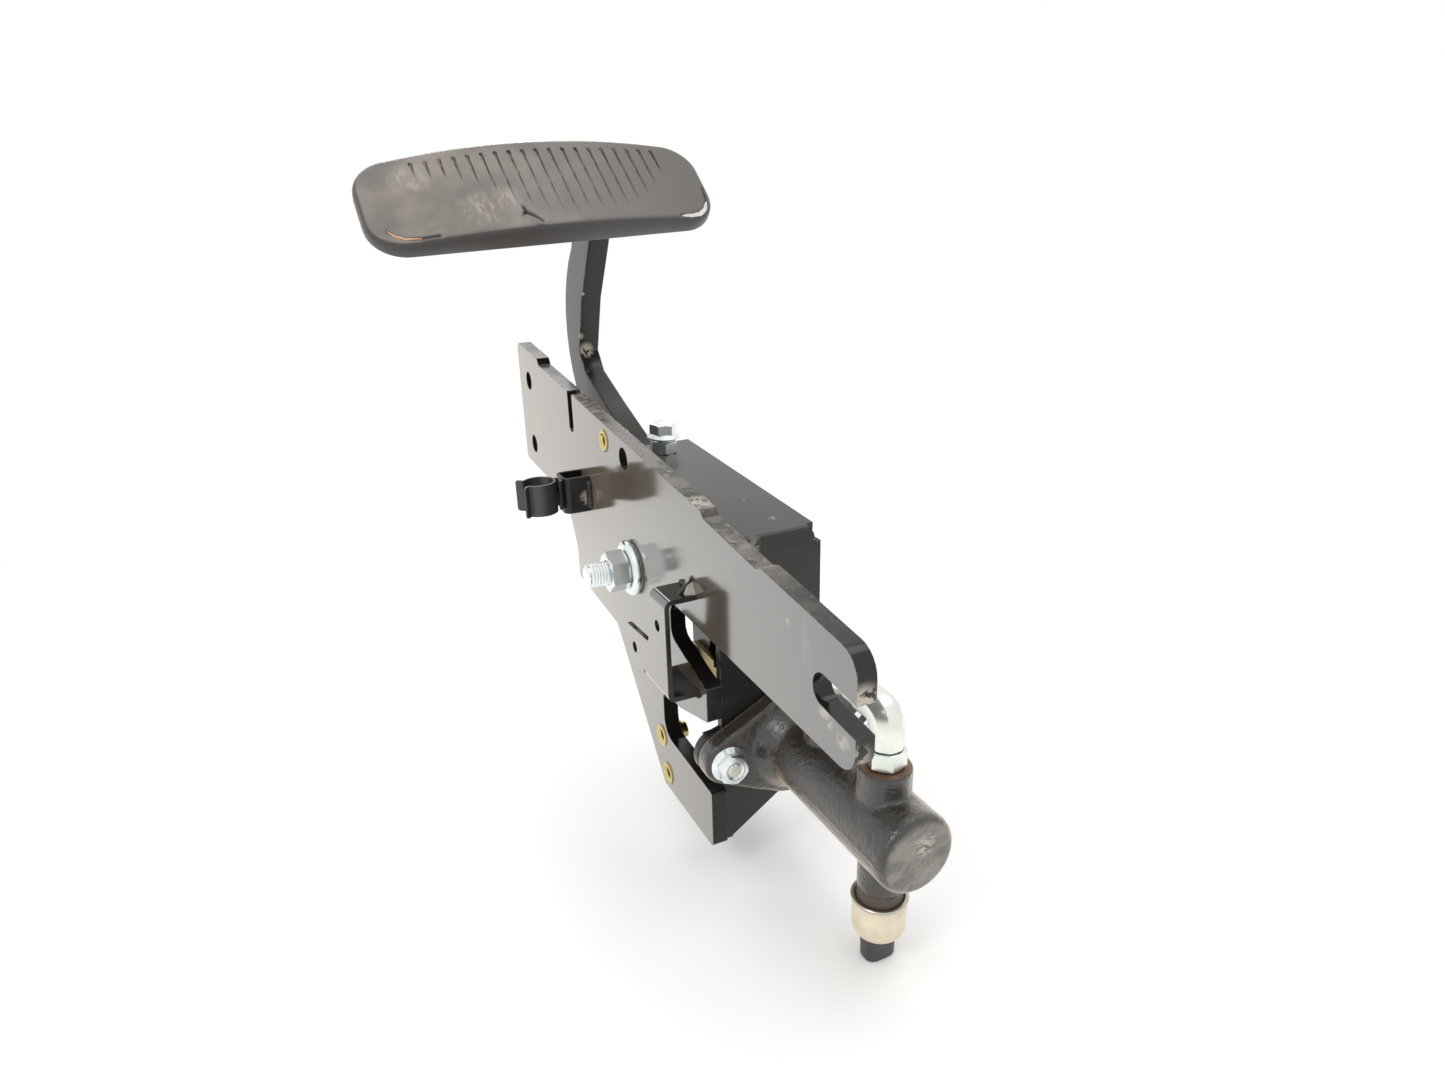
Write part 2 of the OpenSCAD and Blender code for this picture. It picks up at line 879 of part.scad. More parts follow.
module clevis_pin() {
    out = clevis_w / 2 + 1;
    head_r = pin_r + 2.5;
    color("silver")
        difference() {
            on_rod()
                translate([pin_x, -out, 0])
                    along_y() {
                        cylinder(r = pin_r, h = 2 * out + 6);
                        translate([0, 0, -2])
                            cylinder(r = head_r, h = 2);
                    }
            on_rod()
                translate([pin_x, out + 3, -pin_r - over])
                    cylinder(r = 1.3, h = 2 * pin_r + 2 * over, $fn = 24);
        }
}

module cotter_pin() {
    color("silver")
        on_rod()
            translate([pin_x, clevis_w / 2 + 4, 0]) {
                translate([0, 0, -pin_r - 6])
                    cylinder(r = 1.2, h = 2 * pin_r + 9, $fn = 24);
                translate([0, 0, pin_r + 5.2])
                    rotate([90, 0, 0])
                        rotate_extrude($fn = 32)
                            translate([2.6, 0])
                                circle(1, $fn = 16);
            }
}

module clevis() {
    color("goldenrod")
        difference() {
            on_rod() {
                translate([pin_x, -clevis_w / 2, -clevis_h / 2])
                    cube([clevis_end_x - pin_x, clevis_w, clevis_h]);
                translate([pin_x, -clevis_w / 2, 0])
                    along_y()
                        cylinder(d = clevis_h, h = clevis_w);
            }
            on_rod() {
                translate([pin_x - clevis_h, -clevis_gap / 2, -clevis_h])
                    cube([clevis_crotch_x - pin_x + clevis_h, clevis_gap, 2 * clevis_h]);
                translate([pin_x, -clevis_w, 0])
                    along_y()
                        cylinder(r = pin_r + pivot_fit, h = 2 * clevis_w);
                translate([clevis_crotch_x - over, 0, 0])
                    along_x()
                        cylinder(r = rod_r + pivot_fit, h = clevis_end_x - clevis_crotch_x + 2 * over);
            }
        }
}

// The rod ends in a ball that bears in the piston's socket.
module push_rod() {
    color("silver")
        on_rod() {
            translate([clevis_crotch_x + 2, 0, 0])
                along_x()
                    cylinder(r = rod_r, h = ball_x - clevis_crotch_x - 2);
            translate([ball_x, 0, 0])
                sphere(ball_r);
        }
}

module rod_nut() {
    rod_nut_h = 0.5 * rod_d;
    color("silver")
        on_rod()
            translate([clevis_end_x, 0, 0])
                along_x()
                    difference() {
                        hexagon(1.6 * rod_d, rod_nut_h);
                        translate([0, 0, -over])
                            cylinder(r = rod_r + pivot_fit, h = rod_nut_h + 2 * over);
                    }
}

// Bellows between the rod and the back of the front sheet
boot_l = 40;
boot_ribs = 5;
boot_r = valve_wall_gap - 1;
boot_t = 1.4;

module rod_boot() {
    neck_l = 4;
    root_r = boot_r - 4.5;
    neck_r = rod_r + clear + 0.7;
    pitch = (boot_l - 2 * neck_l) / boot_ribs;
    outer = concat([[neck_r + boot_t, 0], [neck_r + boot_t, neck_l]],
        [for (i = [0:boot_ribs - 1]) each [[boot_r, neck_l + pitch * (i + 0.5)],
            [root_r, neck_l + pitch * (i + 1)]]],
        [[boot_r, boot_l - neck_l], [boot_r, boot_l]]);
    inner = concat([[neck_r, 0], [neck_r, neck_l]],
        [for (i = [0:boot_ribs - 1]) each [[boot_r - boot_t, neck_l + pitch * (i + 0.5)],
            [root_r - boot_t, neck_l + pitch * (i + 1)]]],
        [[boot_r - boot_t, boot_l - neck_l], [boot_r - boot_t, boot_l]]);
    color("black")
        on_valve_axis()
            translate([front_in - boot_l, 0, 0])
                along_x()
                    rotate_extrude()
                        polygon(concat(outer, [for (i = [len(inner) - 1:-1:0]) inner[i]]));
}

// ---- Valve ----
module valve_body() {
    edge_r = 5;
    color("dimgray")
        difference() {
            on_valve_axis() {
                translate([face_x, 0, 0])
                    sheet_yz(flange_t)
                        flange_2d(flange_r);
                translate([flange_x, 0, 0])
                    along_x()
                        cylinder(r1 = barrel_r + 7, r2 = barrel_r, h = 12);
                translate([face_x, 0, 0])
                    along_x()
                        cylinder(r = barrel_r, h = valve_l - edge_r);
                translate([end_x - edge_r, 0, 0])
                    along_x()
                        rotate_extrude()
                            polygon(concat([[0, 0]],
                                [for (a = [0:15:90]) [barrel_r - edge_r + edge_r * cos(a), edge_r * sin(a)]],
                                [[0, edge_r]]));
                translate([port_x, 0, 0])
                    cylinder(r = port_r, h = port_top);
                translate([inlet_x, 0, 0])
                    cylinder(r = inlet_r, h = inlet_top);
                translate([port_x, 0, -switch_boss_z])
                    cylinder(r = switch_boss_r, h = switch_boss_z);
            }
            on_valve_axis() {
                translate([face_x - over, 0, 0])
                    along_x()
                        cylinder(r = bore_r, h = bore_end_x - face_x + over);
                translate([face_x + 3.2, 0, 0])
                    along_x()
                        cylinder(r = bore_r + 1.5, h = ring_t);
                translate([port_x, 0, port_top - 12])
                    cylinder(r = port_bore_r, h = 12 + over);
                translate([port_x, 0, 0])
                    cylinder(r = 3, h = port_top);
                translate([inlet_x, 0, inlet_top - 10])
                    cylinder(r = port_bore_r - 1, h = 10 + over);
                translate([inlet_x, 0, 0])
                    cylinder(r = 2.5, h = inlet_top);
                translate([port_x, 0, -switch_boss_z - over])
                    cylinder(r = switch_stem_r, h = 12 + over);
                translate([port_x, 0, -switch_boss_z])
                    cylinder(r = 2, h = switch_boss_z);
            }
            at_studs(face_x - over)
                cylinder(r = bolt_r + slack, h = flange_t + 2 * over);
        }
}

module flange_gasket() {
    color("black")
        difference() {
            on_valve_axis()
                translate([front_x, 0, 0])
                    sheet_yz(gasket_t)
                        flange_2d(flange_r - 8);
            on_valve_axis()
                translate([front_x - over, 0, 0])
                    along_x()
                        cylinder(r = rod_hole_r, h = gasket_t + 2 * over);
            at_studs(front_x - over)
                cylinder(r = bolt_r + slack, h = gasket_t + 2 * over);
        }
}

module flange_bolts() {
    grip = sheet_t + gasket_t + flange_t;
    color("silver")
        at_studs(front_in) {
            cylinder(r = bolt_r, h = grip + flange_nut_h + 2);
            rotate([180, 0, 0])
                flanged_hex(bolt_af, 0.8 * bolt_d, bolt_flange_r);
        }
}

module flange_nuts() {
    color("silver")
        at_studs(flange_x)
            flange_nut(bolt_af, flange_nut_h, bolt_flange_r, bolt_r);
}

piston_waist_r = bore_r - 3.5;
seal_w = 3.4;
seal_places = [6, piston_l - 8];

module piston() {
    land = 10;
    color("silver")
        on_valve_axis()
            translate([piston_x0, 0, 0])
                difference() {
                    along_x()
                        cylinder(r = bore_r - piston_fit, h = piston_l);
                    translate([land, 0, 0])
                        along_x()
                            difference() {
                                cylinder(r = bore_r + over, h = piston_l - 2 * land - 4);
                                translate([0, 0, -over])
                                    cylinder(r = piston_waist_r, h = piston_l);
                            }
                    for (place = seal_places)
                        translate([place - seal_w / 2, 0, 0])
                            along_x()
                                difference() {
                                    cylinder(r = bore_r + over, h = seal_w);
                                    translate([0, 0, -over])
                                        cylinder(r = bore_r - 2.5, h = seal_w + 2 * over);
                                }
                    translate([-over, 0, 0])
                        along_x()
                            cylinder(r = ball_r + 0.8, h = socket_depth + over);
                    translate([piston_l - 8, 0, 0])
                        along_x()
                            cylinder(r = 6, h = 8 + over);
                }
}

module piston_seals() {
    color("black")
        for (place = seal_places)
            on_valve_axis()
                translate([piston_x0 + place - seal_w / 2 + 0.1, 0, 0])
                    along_x()
                        difference() {
                            cylinder(r = bore_r - piston_fit, h = seal_w - 0.2);
                            translate([0, 0, -over])
                                cylinder(r = bore_r - 2.45, h = seal_w + 2 * over);
                        }
}

// Coil spring: one tube on a helix, its ends turned along the wire
spring_wire_r = 1.1;
spring_r = bore_r - 2.4;
spring_turns = 7;
spring_rings = 8;
spring_sides = 6;
spring_x0 = piston_x0 + piston_l + spring_wire_r + 0.1;
spring_x1 = bore_end_x - spring_wire_r - 0.1;
spring_steps = spring_turns * spring_rings;
spring_pitch = (spring_x1 - spring_x0) / spring_turns;
spring_gap = spring_pitch - 2 * spring_wire_r;
echo(spring_gap_to_itself = spring_gap);

function helix(i) = let (a = 360 * i / spring_rings)
    [spring_x0 + spring_pitch * i / spring_rings, spring_r * cos(a), spring_r * sin(a)];

// Centre of the wire, with a straight stretch of one wire diameter at each end
spring_path = concat([helix(0) - unit(helix(1) - helix(0)) * 2 * spring_wire_r],
    [for (i = [0:spring_steps]) helix(i)],
    [helix(spring_steps) + unit(helix(spring_steps) - helix(spring_steps - 1)) * 2 * spring_wire_r]);

function spring_ring(i) =
    let (n = len(spring_path) - 1,
         ahead = unit(spring_path[min(i + 1, n)] - spring_path[max(i - 1, 0)]),
         out = unit([0, spring_path[i][1], spring_path[i][2]]),
         across = unit(cross(ahead, out)), side = cross(across, ahead))
    [for (k = [0:spring_sides - 1]) spring_path[i]
        + spring_wire_r * (cos(360 * k / spring_sides) * side + sin(360 * k / spring_sides) * across)];

module piston_spring() {
    last = len(spring_path) - 1;
    n = spring_sides;
    points = [for (i = [0:last]) each spring_ring(i)];
    walls = [for (i = [0:last - 1]) for (k = [0:n - 1])
        let (a = i * n + k, b = i * n + (k + 1) % n)
        each [[a, b, a + n], [b, b + n, a + n]]];
    caps = concat([for (k = [1:n - 2]) [0, k + 1, k]],
        [for (k = [1:n - 2]) [last * n, last * n + k, last * n + k + 1]]);
    color("silver")
        on_valve_axis()
            polyhedron(points, concat(walls, caps), convexity = 10);
}

module stop_washer() {
    color("silver")
        on_valve_axis()
            translate([face_x + 3.2 + ring_t, 0, 0])
                along_x()
                    difference() {
                        cylinder(r = bore_r - clear, h = stop_washer_t);
                        translate([0, 0, -over])
                            cylinder(r = ball_r + 1.2, h = stop_washer_t + 2 * over);
                    }
}

module snap_ring() {
    color("dimgray")
        on_valve_axis()
            translate([face_x + 3.2, 0, 0])
                along_x()
                    difference() {
                        cylinder(r = bore_r + 1.3, h = ring_t);
                        translate([0, 0, -over])
                            cylinder(r = bore_r - 2.5, h = ring_t + 2 * over);
                        translate([-3, 0, -over])
                            cube([6, 2 * bore_r, ring_t + 2 * over]);
                    }
}

// ---- Fittings, on the port's axis with Z zero at the valve's axis ----
module at_port() {
    on_valve_axis()
        translate([port_x, 0, 0])
            children();
}

elbow_r = 9;
elbow_nut_h = 11;
elbow_z = port_top + 30;
elbow_l = 31;
elbow_end_l = 12;
elbow_end_r = 8;

module elbow_fitting() {
    color("silver")
        at_port()
            difference() {
                union() {
                    translate([0, 0, port_top - 11])
                        cylinder(r = port_bore_r - 0.05, h = 11 + elbow_nut_h + 1);
                    translate([0, 0, port_top + elbow_nut_h + 1])
                        cylinder(r = elbow_r, h = elbow_z - port_top - elbow_nut_h - 1);
                    translate([0, 0, elbow_z])
                        sphere(elbow_r);
                    translate([-elbow_l + elbow_end_l, 0, elbow_z])
                        along_x()
                            cylinder(r = elbow_r, h = elbow_l - elbow_end_l);
                    translate([-elbow_l, 0, elbow_z])
                        along_x()
                            cylinder(r = elbow_end_r, h = elbow_end_l);
                }
                translate([0, 0, port_top - 12])
                    cylinder(r = 3.5, h = elbow_z - port_top + 12);
                translate([-elbow_l - over, 0, elbow_z])
                    along_x()
                        cylinder(r = 3.5, h = elbow_l + over);
                translate([-elbow_l - over, 0, elbow_z])
                    along_x()
                        cylinder(r1 = 7, r2 = 3.5, h = 4);
            }
}

module elbow_nut() {
    color("silver")
        at_port()
            translate([0, 0, port_top + 0.8])
                difference() {
                    hexagon(19, elbow_nut_h - 0.8);
                    translate([0, 0, -over])
                        cylinder(r = port_bore_r, h = elbow_nut_h + 2 * over);
                }
}

module elbow_seal() {
    color("black")
        at_port()
            translate([0, 0, port_top])
                difference() {
                    cylinder(r = port_bore_r + 1.6, h = 0.8);
                    translate([0, 0, -over])
                        cylinder(r = port_bore_r, h = 0.8 + 2 * over);
                }
}

module port_plug() {
    color("silver")
        on_valve_axis()
            translate([inlet_x, 0, inlet_top])
                difference() {
                    union() {
                        translate([0, 0, -9])
                            cylinder(r = port_bore_r - 1.05, h = 9);
                        cylinder(r = port_bore_r + 0.5, h = 2.5);
                        translate([0, 0, 2.5])
                            hexagon(14, 6);
                    }
                    translate([0, 0, 4])
                        cylinder(r = 3, h = 6);
                }
}

collar_h = 9;
can_h = 22;
connector_h = 16;

module switch_body() {
    color("beige")
        at_port()
            translate([0, 0, -switch_boss_z]) {
                translate([0, 0, -collar_h])
                    cylinder(r = switch_stem_r - 0.05, h = collar_h + 11);
                translate([0, 0, -collar_h - 2])
                    cylinder(r = switch_d / 2 + 0.8, h = 2);
                translate([0, 0, -collar_h - can_h + 5])
                    cylinder(r = switch_d / 2, h = can_h - 7);
                translate([0, 0, -collar_h - can_h])
                    cylinder(r1 = switch_d / 2 - 3, r2 = switch_d / 2, h = 5);
            }
}

module switch_collar() {
    color("black")
        at_port()
            translate([0, 0, -switch_boss_z - collar_h])
                difference() {
                    cylinder(r1 = switch_d / 2 - 0.6, r2 = switch_boss_r, h = collar_h);
                    translate([0, 0, -over])
                        cylinder(r = switch_stem_r, h = collar_h + 2 * over);
                }
}

module switch_connector() {
    color("black")
        at_port()
            translate([0, 0, -switch_boss_z - collar_h - can_h - connector_h])
                difference() {
                    union() {
                        for (side = [-1, 1])
                            translate([0, side * 3.2, 0])
                                cylinder(r = 6.5, h = connector_h);
                        translate([-6.5, -3.2, 0])
                            cube([13, 6.4, connector_h]);
                    }
                    for (side = [-1, 1])
                        translate([0, side * 2.6, -over])
                            cylinder(r = 1.4, h = 9 + over, $fn = 24);
                }
}

side_plate();
housing_sheet();
far_wall();
accessory_bracket();
bracket_gusset();
rivet_nuts();
clip_strap();
hose_clip();
clip_rivet();
pivot_bolt();
pivot_nut();
pivot_washer();
stop_bolt();
stop_nut();
pedal_arm();
pedal_hub();
pivot_bushes();
push_lever();
pad_plate();
pad_rubber();
clevis_pin();
cotter_pin();
clevis();
push_rod();
rod_nut();
rod_boot();
valve_body();
flange_gasket();
flange_bolts();
flange_nuts();
piston();
piston_seals();
piston_spring();
stop_washer();
snap_ring();
elbow_fitting();
elbow_nut();
elbow_seal();
port_plug();
switch_body();
switch_collar();
switch_connector();
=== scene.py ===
import json
import math
from contextlib import contextmanager
from functools import partial

import bmesh
import bpy
import numpy as np
from bpy.props import FloatProperty, FloatVectorProperty, IntProperty, PointerProperty
from mathutils import Matrix, Vector


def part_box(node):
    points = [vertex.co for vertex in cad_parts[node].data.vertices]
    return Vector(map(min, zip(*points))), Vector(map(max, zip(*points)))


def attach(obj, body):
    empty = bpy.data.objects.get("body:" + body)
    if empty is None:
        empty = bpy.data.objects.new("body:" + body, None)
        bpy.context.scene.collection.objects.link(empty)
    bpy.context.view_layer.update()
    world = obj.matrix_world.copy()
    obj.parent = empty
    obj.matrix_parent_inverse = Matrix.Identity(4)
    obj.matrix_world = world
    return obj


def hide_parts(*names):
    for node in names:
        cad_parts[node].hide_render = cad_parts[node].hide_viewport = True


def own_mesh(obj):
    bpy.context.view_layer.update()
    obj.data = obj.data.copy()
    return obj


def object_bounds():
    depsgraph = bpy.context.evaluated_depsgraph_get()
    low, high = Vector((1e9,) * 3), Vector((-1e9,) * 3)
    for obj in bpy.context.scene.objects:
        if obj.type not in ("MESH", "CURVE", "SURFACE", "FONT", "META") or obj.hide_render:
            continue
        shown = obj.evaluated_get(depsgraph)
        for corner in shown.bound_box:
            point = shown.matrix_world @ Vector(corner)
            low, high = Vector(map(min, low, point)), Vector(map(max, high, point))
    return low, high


bl_info = {
    "name": "Foot valve",
    "version": (1, 0, 0),
    "blender": (4, 5, 0),
    "location": "View3D > Sidebar > Foot valve",
    "description": "Pedal, mounting plate and hydraulic valve with painted, cast, plated and rubber finishes",
    "category": "Add Mesh",
}

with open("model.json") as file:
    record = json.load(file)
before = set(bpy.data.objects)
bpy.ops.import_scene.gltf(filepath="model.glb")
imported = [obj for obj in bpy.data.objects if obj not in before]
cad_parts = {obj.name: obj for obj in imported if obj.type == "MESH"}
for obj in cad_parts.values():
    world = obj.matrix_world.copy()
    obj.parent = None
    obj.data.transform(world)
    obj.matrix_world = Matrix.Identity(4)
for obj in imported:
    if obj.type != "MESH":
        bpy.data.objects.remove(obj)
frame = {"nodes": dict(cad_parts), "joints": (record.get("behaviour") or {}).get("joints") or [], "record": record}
CAD_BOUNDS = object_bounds()
MM = 0.001
JOINTS = {joint["name"]: joint for joint in frame["joints"]}
SLOTS = {row["node"]: row["material_slot"] for row in frame["record"]["subparts"]}
HINGE = JOINTS["pedal_hinge"]["pos_m"]
PIVOT = Vector((HINGE[0], 0.0, HINGE[2]))
X, Y, Z = (1, 0, 0), (0, 1, 0), (0, 0, 1)


def linear(code):
    """sRGB hex code to Blender's linear red, green, blue."""
    parts = [int(code[i:i + 2], 16) / 255 for i in (1, 3, 5)]
    return tuple(p / 12.92 if p <= 0.04045 else ((p + 0.055) / 1.055) ** 2.4 for p in parts)


def spot(x, y, z):
    """A point given in millimetres from the pivot on the plate's outer face, in metres."""
    return Vector((PIVOT.x + x * MM, y * MM, PIVOT.z + z * MM))


def measured(node):
    """A CAD node's lowest and highest corner, in millimetres from the pivot."""
    return [[(a - b) / MM for a, b in zip(corner, PIVOT)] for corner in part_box(node)]


def span(node, axis):
    """Where a CAD node starts and ends along an axis, in millimetres from the pivot."""
    return [corner[axis] for corner in measured(node)]


def middle(node, axis):
    return sum(span(node, axis)) / 2


VALVE = measured("valve_body")
VALVE_Y, VALVE_Z = (middle("piston", axis) for axis in (1, 2))
OUTLET_X, INLET_X = 209.0, 151.0


# ---------------------------------------------------------------- settings

def colour_property(name, description, code):
    return FloatVectorProperty(name=name, description=description, subtype="COLOR",
                               size=3, min=0.0, max=1.0, default=linear(code))


def length_property(name, description, default_mm, low_mm, high_mm):
    return FloatProperty(name=name, description=description, unit="LENGTH",
                         default=default_mm * MM, min=low_mm * MM, max=high_mm * MM)


class ValveColours(bpy.types.PropertyGroup):
    paint: colour_property("Paint", "Semi-gloss enamel on plates and sheet metal", "#171615")
    rubbed: colour_property("Rubbed edge", "Cut edges where the enamel has rubbed thin", "#8C857A")
    dust: colour_property("Dust", "Film of dust on the enamel", "#FFE6C6")
    casting: colour_property("Casting", "Paint on the cast valve body", "#191512")
    zinc: colour_property("Zinc", "Bright zinc plate", "#F0F3F3")
    yellow: colour_property("Yellow zinc", "Yellow passivated zinc plate", "#D6C384")
    rubber: colour_property("Rubber", "Moulded rubber of the pad's sides", "#35312F")
    worn_rubber: colour_property("Worn rubber", "Pad face rubbed by boots", "#7C756F")
    clip: colour_property("Clip", "Oiled spring steel of the hose clip", "#2B2625")
    cream: colour_property("Cream", "Moulded can of the pressure switch", "#DFD1B8")
    plastic: colour_property("Plastic", "Moulded black plastic", "#3A3634")
    floor: colour_property("Floor", "Floor under the object", "#FBFBFA")


class ValveSizes(bpy.types.PropertyGroup):
    edge_round: length_property("Edge round", "Rounding along cut plate edges", 1.0, 0.1, 2.0)
    bend_round: length_property("Bend round", "Outer radius of a bend in the housing sheet", 2.2, 1.0, 5.0)
    cast_grain: length_property("Cast grain", "Size of the grain left by the mould", 1.9, 0.5, 6.0)
    voxel: length_property("Casting step", "Mesh step of the casting", 1.05, 0.6, 2.0)
    blend_passes: IntProperty(name="Blend passes", description="Smoothing that rounds the casting's corners",
                              default=9, min=0, max=40)


class PadSizes(bpy.types.PropertyGroup):
    groove_width: length_property("Groove width", "Width of a groove where it starts", 2.8, 1.0, 6.0)
    groove_depth: length_property("Groove depth", "Depth of a groove", 1.7, 0.5, 4.0)
    grooves: IntProperty(name="Grooves", description="Number of grooves", default=19, min=4, max=30)
    edge_round: length_property("Edge round", "Rounding round the pad's upper edge", 4.5, 1.0, 8.0)


# ---------------------------------------------------------------- finishes

RGBA = {"data_type": "RGBA", "out": 2}
TIMES, MOST = {"operation": "MULTIPLY"}, {"operation": "MAXIMUM"}
SMOOTH = {"interpolation_type": "SMOOTHSTEP"}


def add(tree, kind, sockets=(), out=0, **settings):
    """Adds a node and gives one of its outputs. Each socket takes a value or another node's output."""
    node = tree.nodes.new(kind if "Node" in kind else "ShaderNode" + kind)
    for key, value in settings.items():
        setattr(node, key, value)
    for key, value in sockets.items() if isinstance(sockets, dict) else enumerate(sockets):
        if isinstance(value, bpy.types.NodeSocket):
            tree.links.new(value, node.inputs[key])
        else:
            node.inputs[key].default_value = value
    return node if out is None else node.outputs[out]


def new_finish(name, **even):
    """A material whose even values sit on the shader; gives material, node adder and object coordinates."""
    material = bpy.data.materials.new(name)
    material.use_nodes = True
    for key, value in even.items():
        material.node_tree.nodes["Principled BSDF"].inputs[key.replace("_", " ")].default_value = value
    node = partial(add, material.node_tree)
    return material, node, node("TexCoord", out="Object")


def coat_with(material, relief=(), coated=False, **varied):
    """Links what varies over the surface to the shader. Relief lays bumps over each other, each a height, a
    strength and a depth in millimetres; a coated finish has them in its coat too."""
    tree, normal = material.node_tree, {}
    for height, strength, depth in relief:
        bump = add(tree, "Bump", {"Height": height, "Strength": strength, "Distance": depth * MM, **normal})
        normal = {"Normal": bump}
    if coated:
        varied["Coat_Normal"] = normal["Normal"]
    for key, source in {**varied, **normal}.items():
        tree.links.new(source, tree.nodes["Principled BSDF"].inputs[key.replace("_", " ")])
    return material


def tone(colour, gain=1.0):
    colour = linear(colour) if isinstance(colour, str) else colour
    return (*(min(1.0, c * gain) for c in colour[:3]), 1.0)


def patches(node, place, size_mm, low, high, bottom=0.0, top=1.0, detail=4.0, ragged=0.55, stretch=None):
    """Patches about size_mm across whose value runs from bottom to top."""
    if stretch:
        place = node("Mapping", {"Vector": place, "Scale": stretch})
    cloud = node("TexNoise", {"Vector": place, "Scale": 0.6 / (size_mm * MM), "Detail": detail,
                              "Roughness": ragged})
    return node("MapRange", (cloud, low, high, bottom, top), **SMOOTH)


def rubbed_edges(node, reach_mm, low=0.015, high=0.1):
    """1 along a piece's edges, where a rounded normal leaves the face's own."""
    rounded = node("Bevel", {"Radius": reach_mm * MM}, samples=6)
    flat = node("NewGeometry", out="True Normal")
    same = node("VectorMath", (rounded, flat), out="Value", operation="DOT_PRODUCT")
    return node("MapRange", (same, 1.0 - low, 1.0 - high), **SMOOTH)


def around(node, place, centre, reach_mm):
    """1 at a point of the object, fading to 0 at reach_mm from it."""
    away = node("VectorMath", (place, tuple(centre)), out="Value", operation="DISTANCE")
    return node("MapRange", (away, reach_mm * MM, reach_mm * 0.3 * MM), **SMOOTH)


def turned_to(node, way, low, high):
    """1 where a face looks along a direction of the object."""
    part = node("VectorMath", (node("TexCoord", out="Normal"), tuple(way)), out="Value",
                operation="DOT_PRODUCT")
    return node("MapRange", (part, low, high), **SMOOTH)


def black_enamel(name, colours, ior=1.42, coat_ior=0.0, gloss=0.14, dust=0.3, wear=0.5, top_wear=0.0,
                 chips=(), scuffs=()):
    # Black stoving enamel sprayed on steel: a smooth film with a faint orange peel, near black where it is
    # seen square on. The dust on it glows beige at low angles, and its cut edges are rubbed to primer and
    # steel.
    material, node, place = new_finish(name, IOR=ior, Coat_Weight=1.0 if coat_ior else 0.0,
                                       Coat_IOR=coat_ior or 1.5, Coat_Roughness=gloss, Sheen_Weight=dust,
                                       Sheen_Roughness=0.31, Sheen_Tint=tone(colours.dust))
    haze = patches(node, place, 60, 0.3, 0.75)
    colour = node("Mix", {0: haze, 6: tone(colours.paint), 7: tone(colours.paint, 1.6)}, **RGBA)
    rubbed = rubbed_edges(node, 0.9)
    worn = node("Math", (rubbed, patches(node, place, 5, 0.47, 0.6, 0.0, wear, ragged=0.7)), **TIMES)
    if top_wear:
        smears = patches(node, place, 13, 0.4, 0.56, 0.1, 0.62 * top_wear, 5, 0.7)
        flakes = patches(node, place, 6, 0.55, 0.59, 0.0, top_wear, 5, 0.75)
        top = node("Math", (turned_to(node, Z, 0.75, 0.95), node("Math", (smears, flakes), **MOST)), **TIMES)
        # The wear fades near the fork and the rear end, and stays above the window.
        fades = ((0, 0.15, 0.235, 1.0, 0.15), (0, -0.13, -0.06, 0.2, 1.0), (2, 0.035, 0.045, 0.0, 1.0))
        held, *shares = [node("MapRange", (node("SeparateXYZ", (place,), out=axis), PIVOT[axis] + start,
                                           PIVOT[axis] + end, *values))
                         for axis, start, end, *values in fades]
        for share in (*shares, top):
            held = node("Math", (held, share), **TIMES)
        worn = node("Math", (worn, held), **MOST)
    for centre, reach, share in scuffs:
        scrape = patches(node, place, 8, 0.52, 0.68, 0.0, share, 6, 0.72, (1.0, 1.0, 0.4))
        scuff = node("Math", (around(node, place, spot(*centre), reach), scrape), **TIMES)
        worn = node("Math", (worn, scuff), **MOST)
    colour = node("Mix", {0: worn, 6: colour, 7: tone(colours.rubbed)}, **RGBA)
    for centre, reach, share in chips:
        flaked = patches(node, place, 4, 0.46, 0.5, 0.0, share, 5, 0.7)
        chip = node("Math", (around(node, place, spot(*centre), reach), flaked), **TIMES)
        colour = node("Mix", {0: chip, 6: colour, 7: tone(colours.rubbed, 2.0)}, **RGBA)
        worn = node("Math", (worn, chip), **MOST)
    rough = node("MapRange", (worn, 0.0, 1.0, gloss, 0.62))
    rough = node("Math", (haze, 0.08, rough), operation="MULTIPLY_ADD")
    peel = patches(node, place, 2.4, 0.2, 0.8, detail=2)
    return coat_with(material, [(peel, 0.3, 0.02)], True, Base_Color=colour, Roughness=rough)


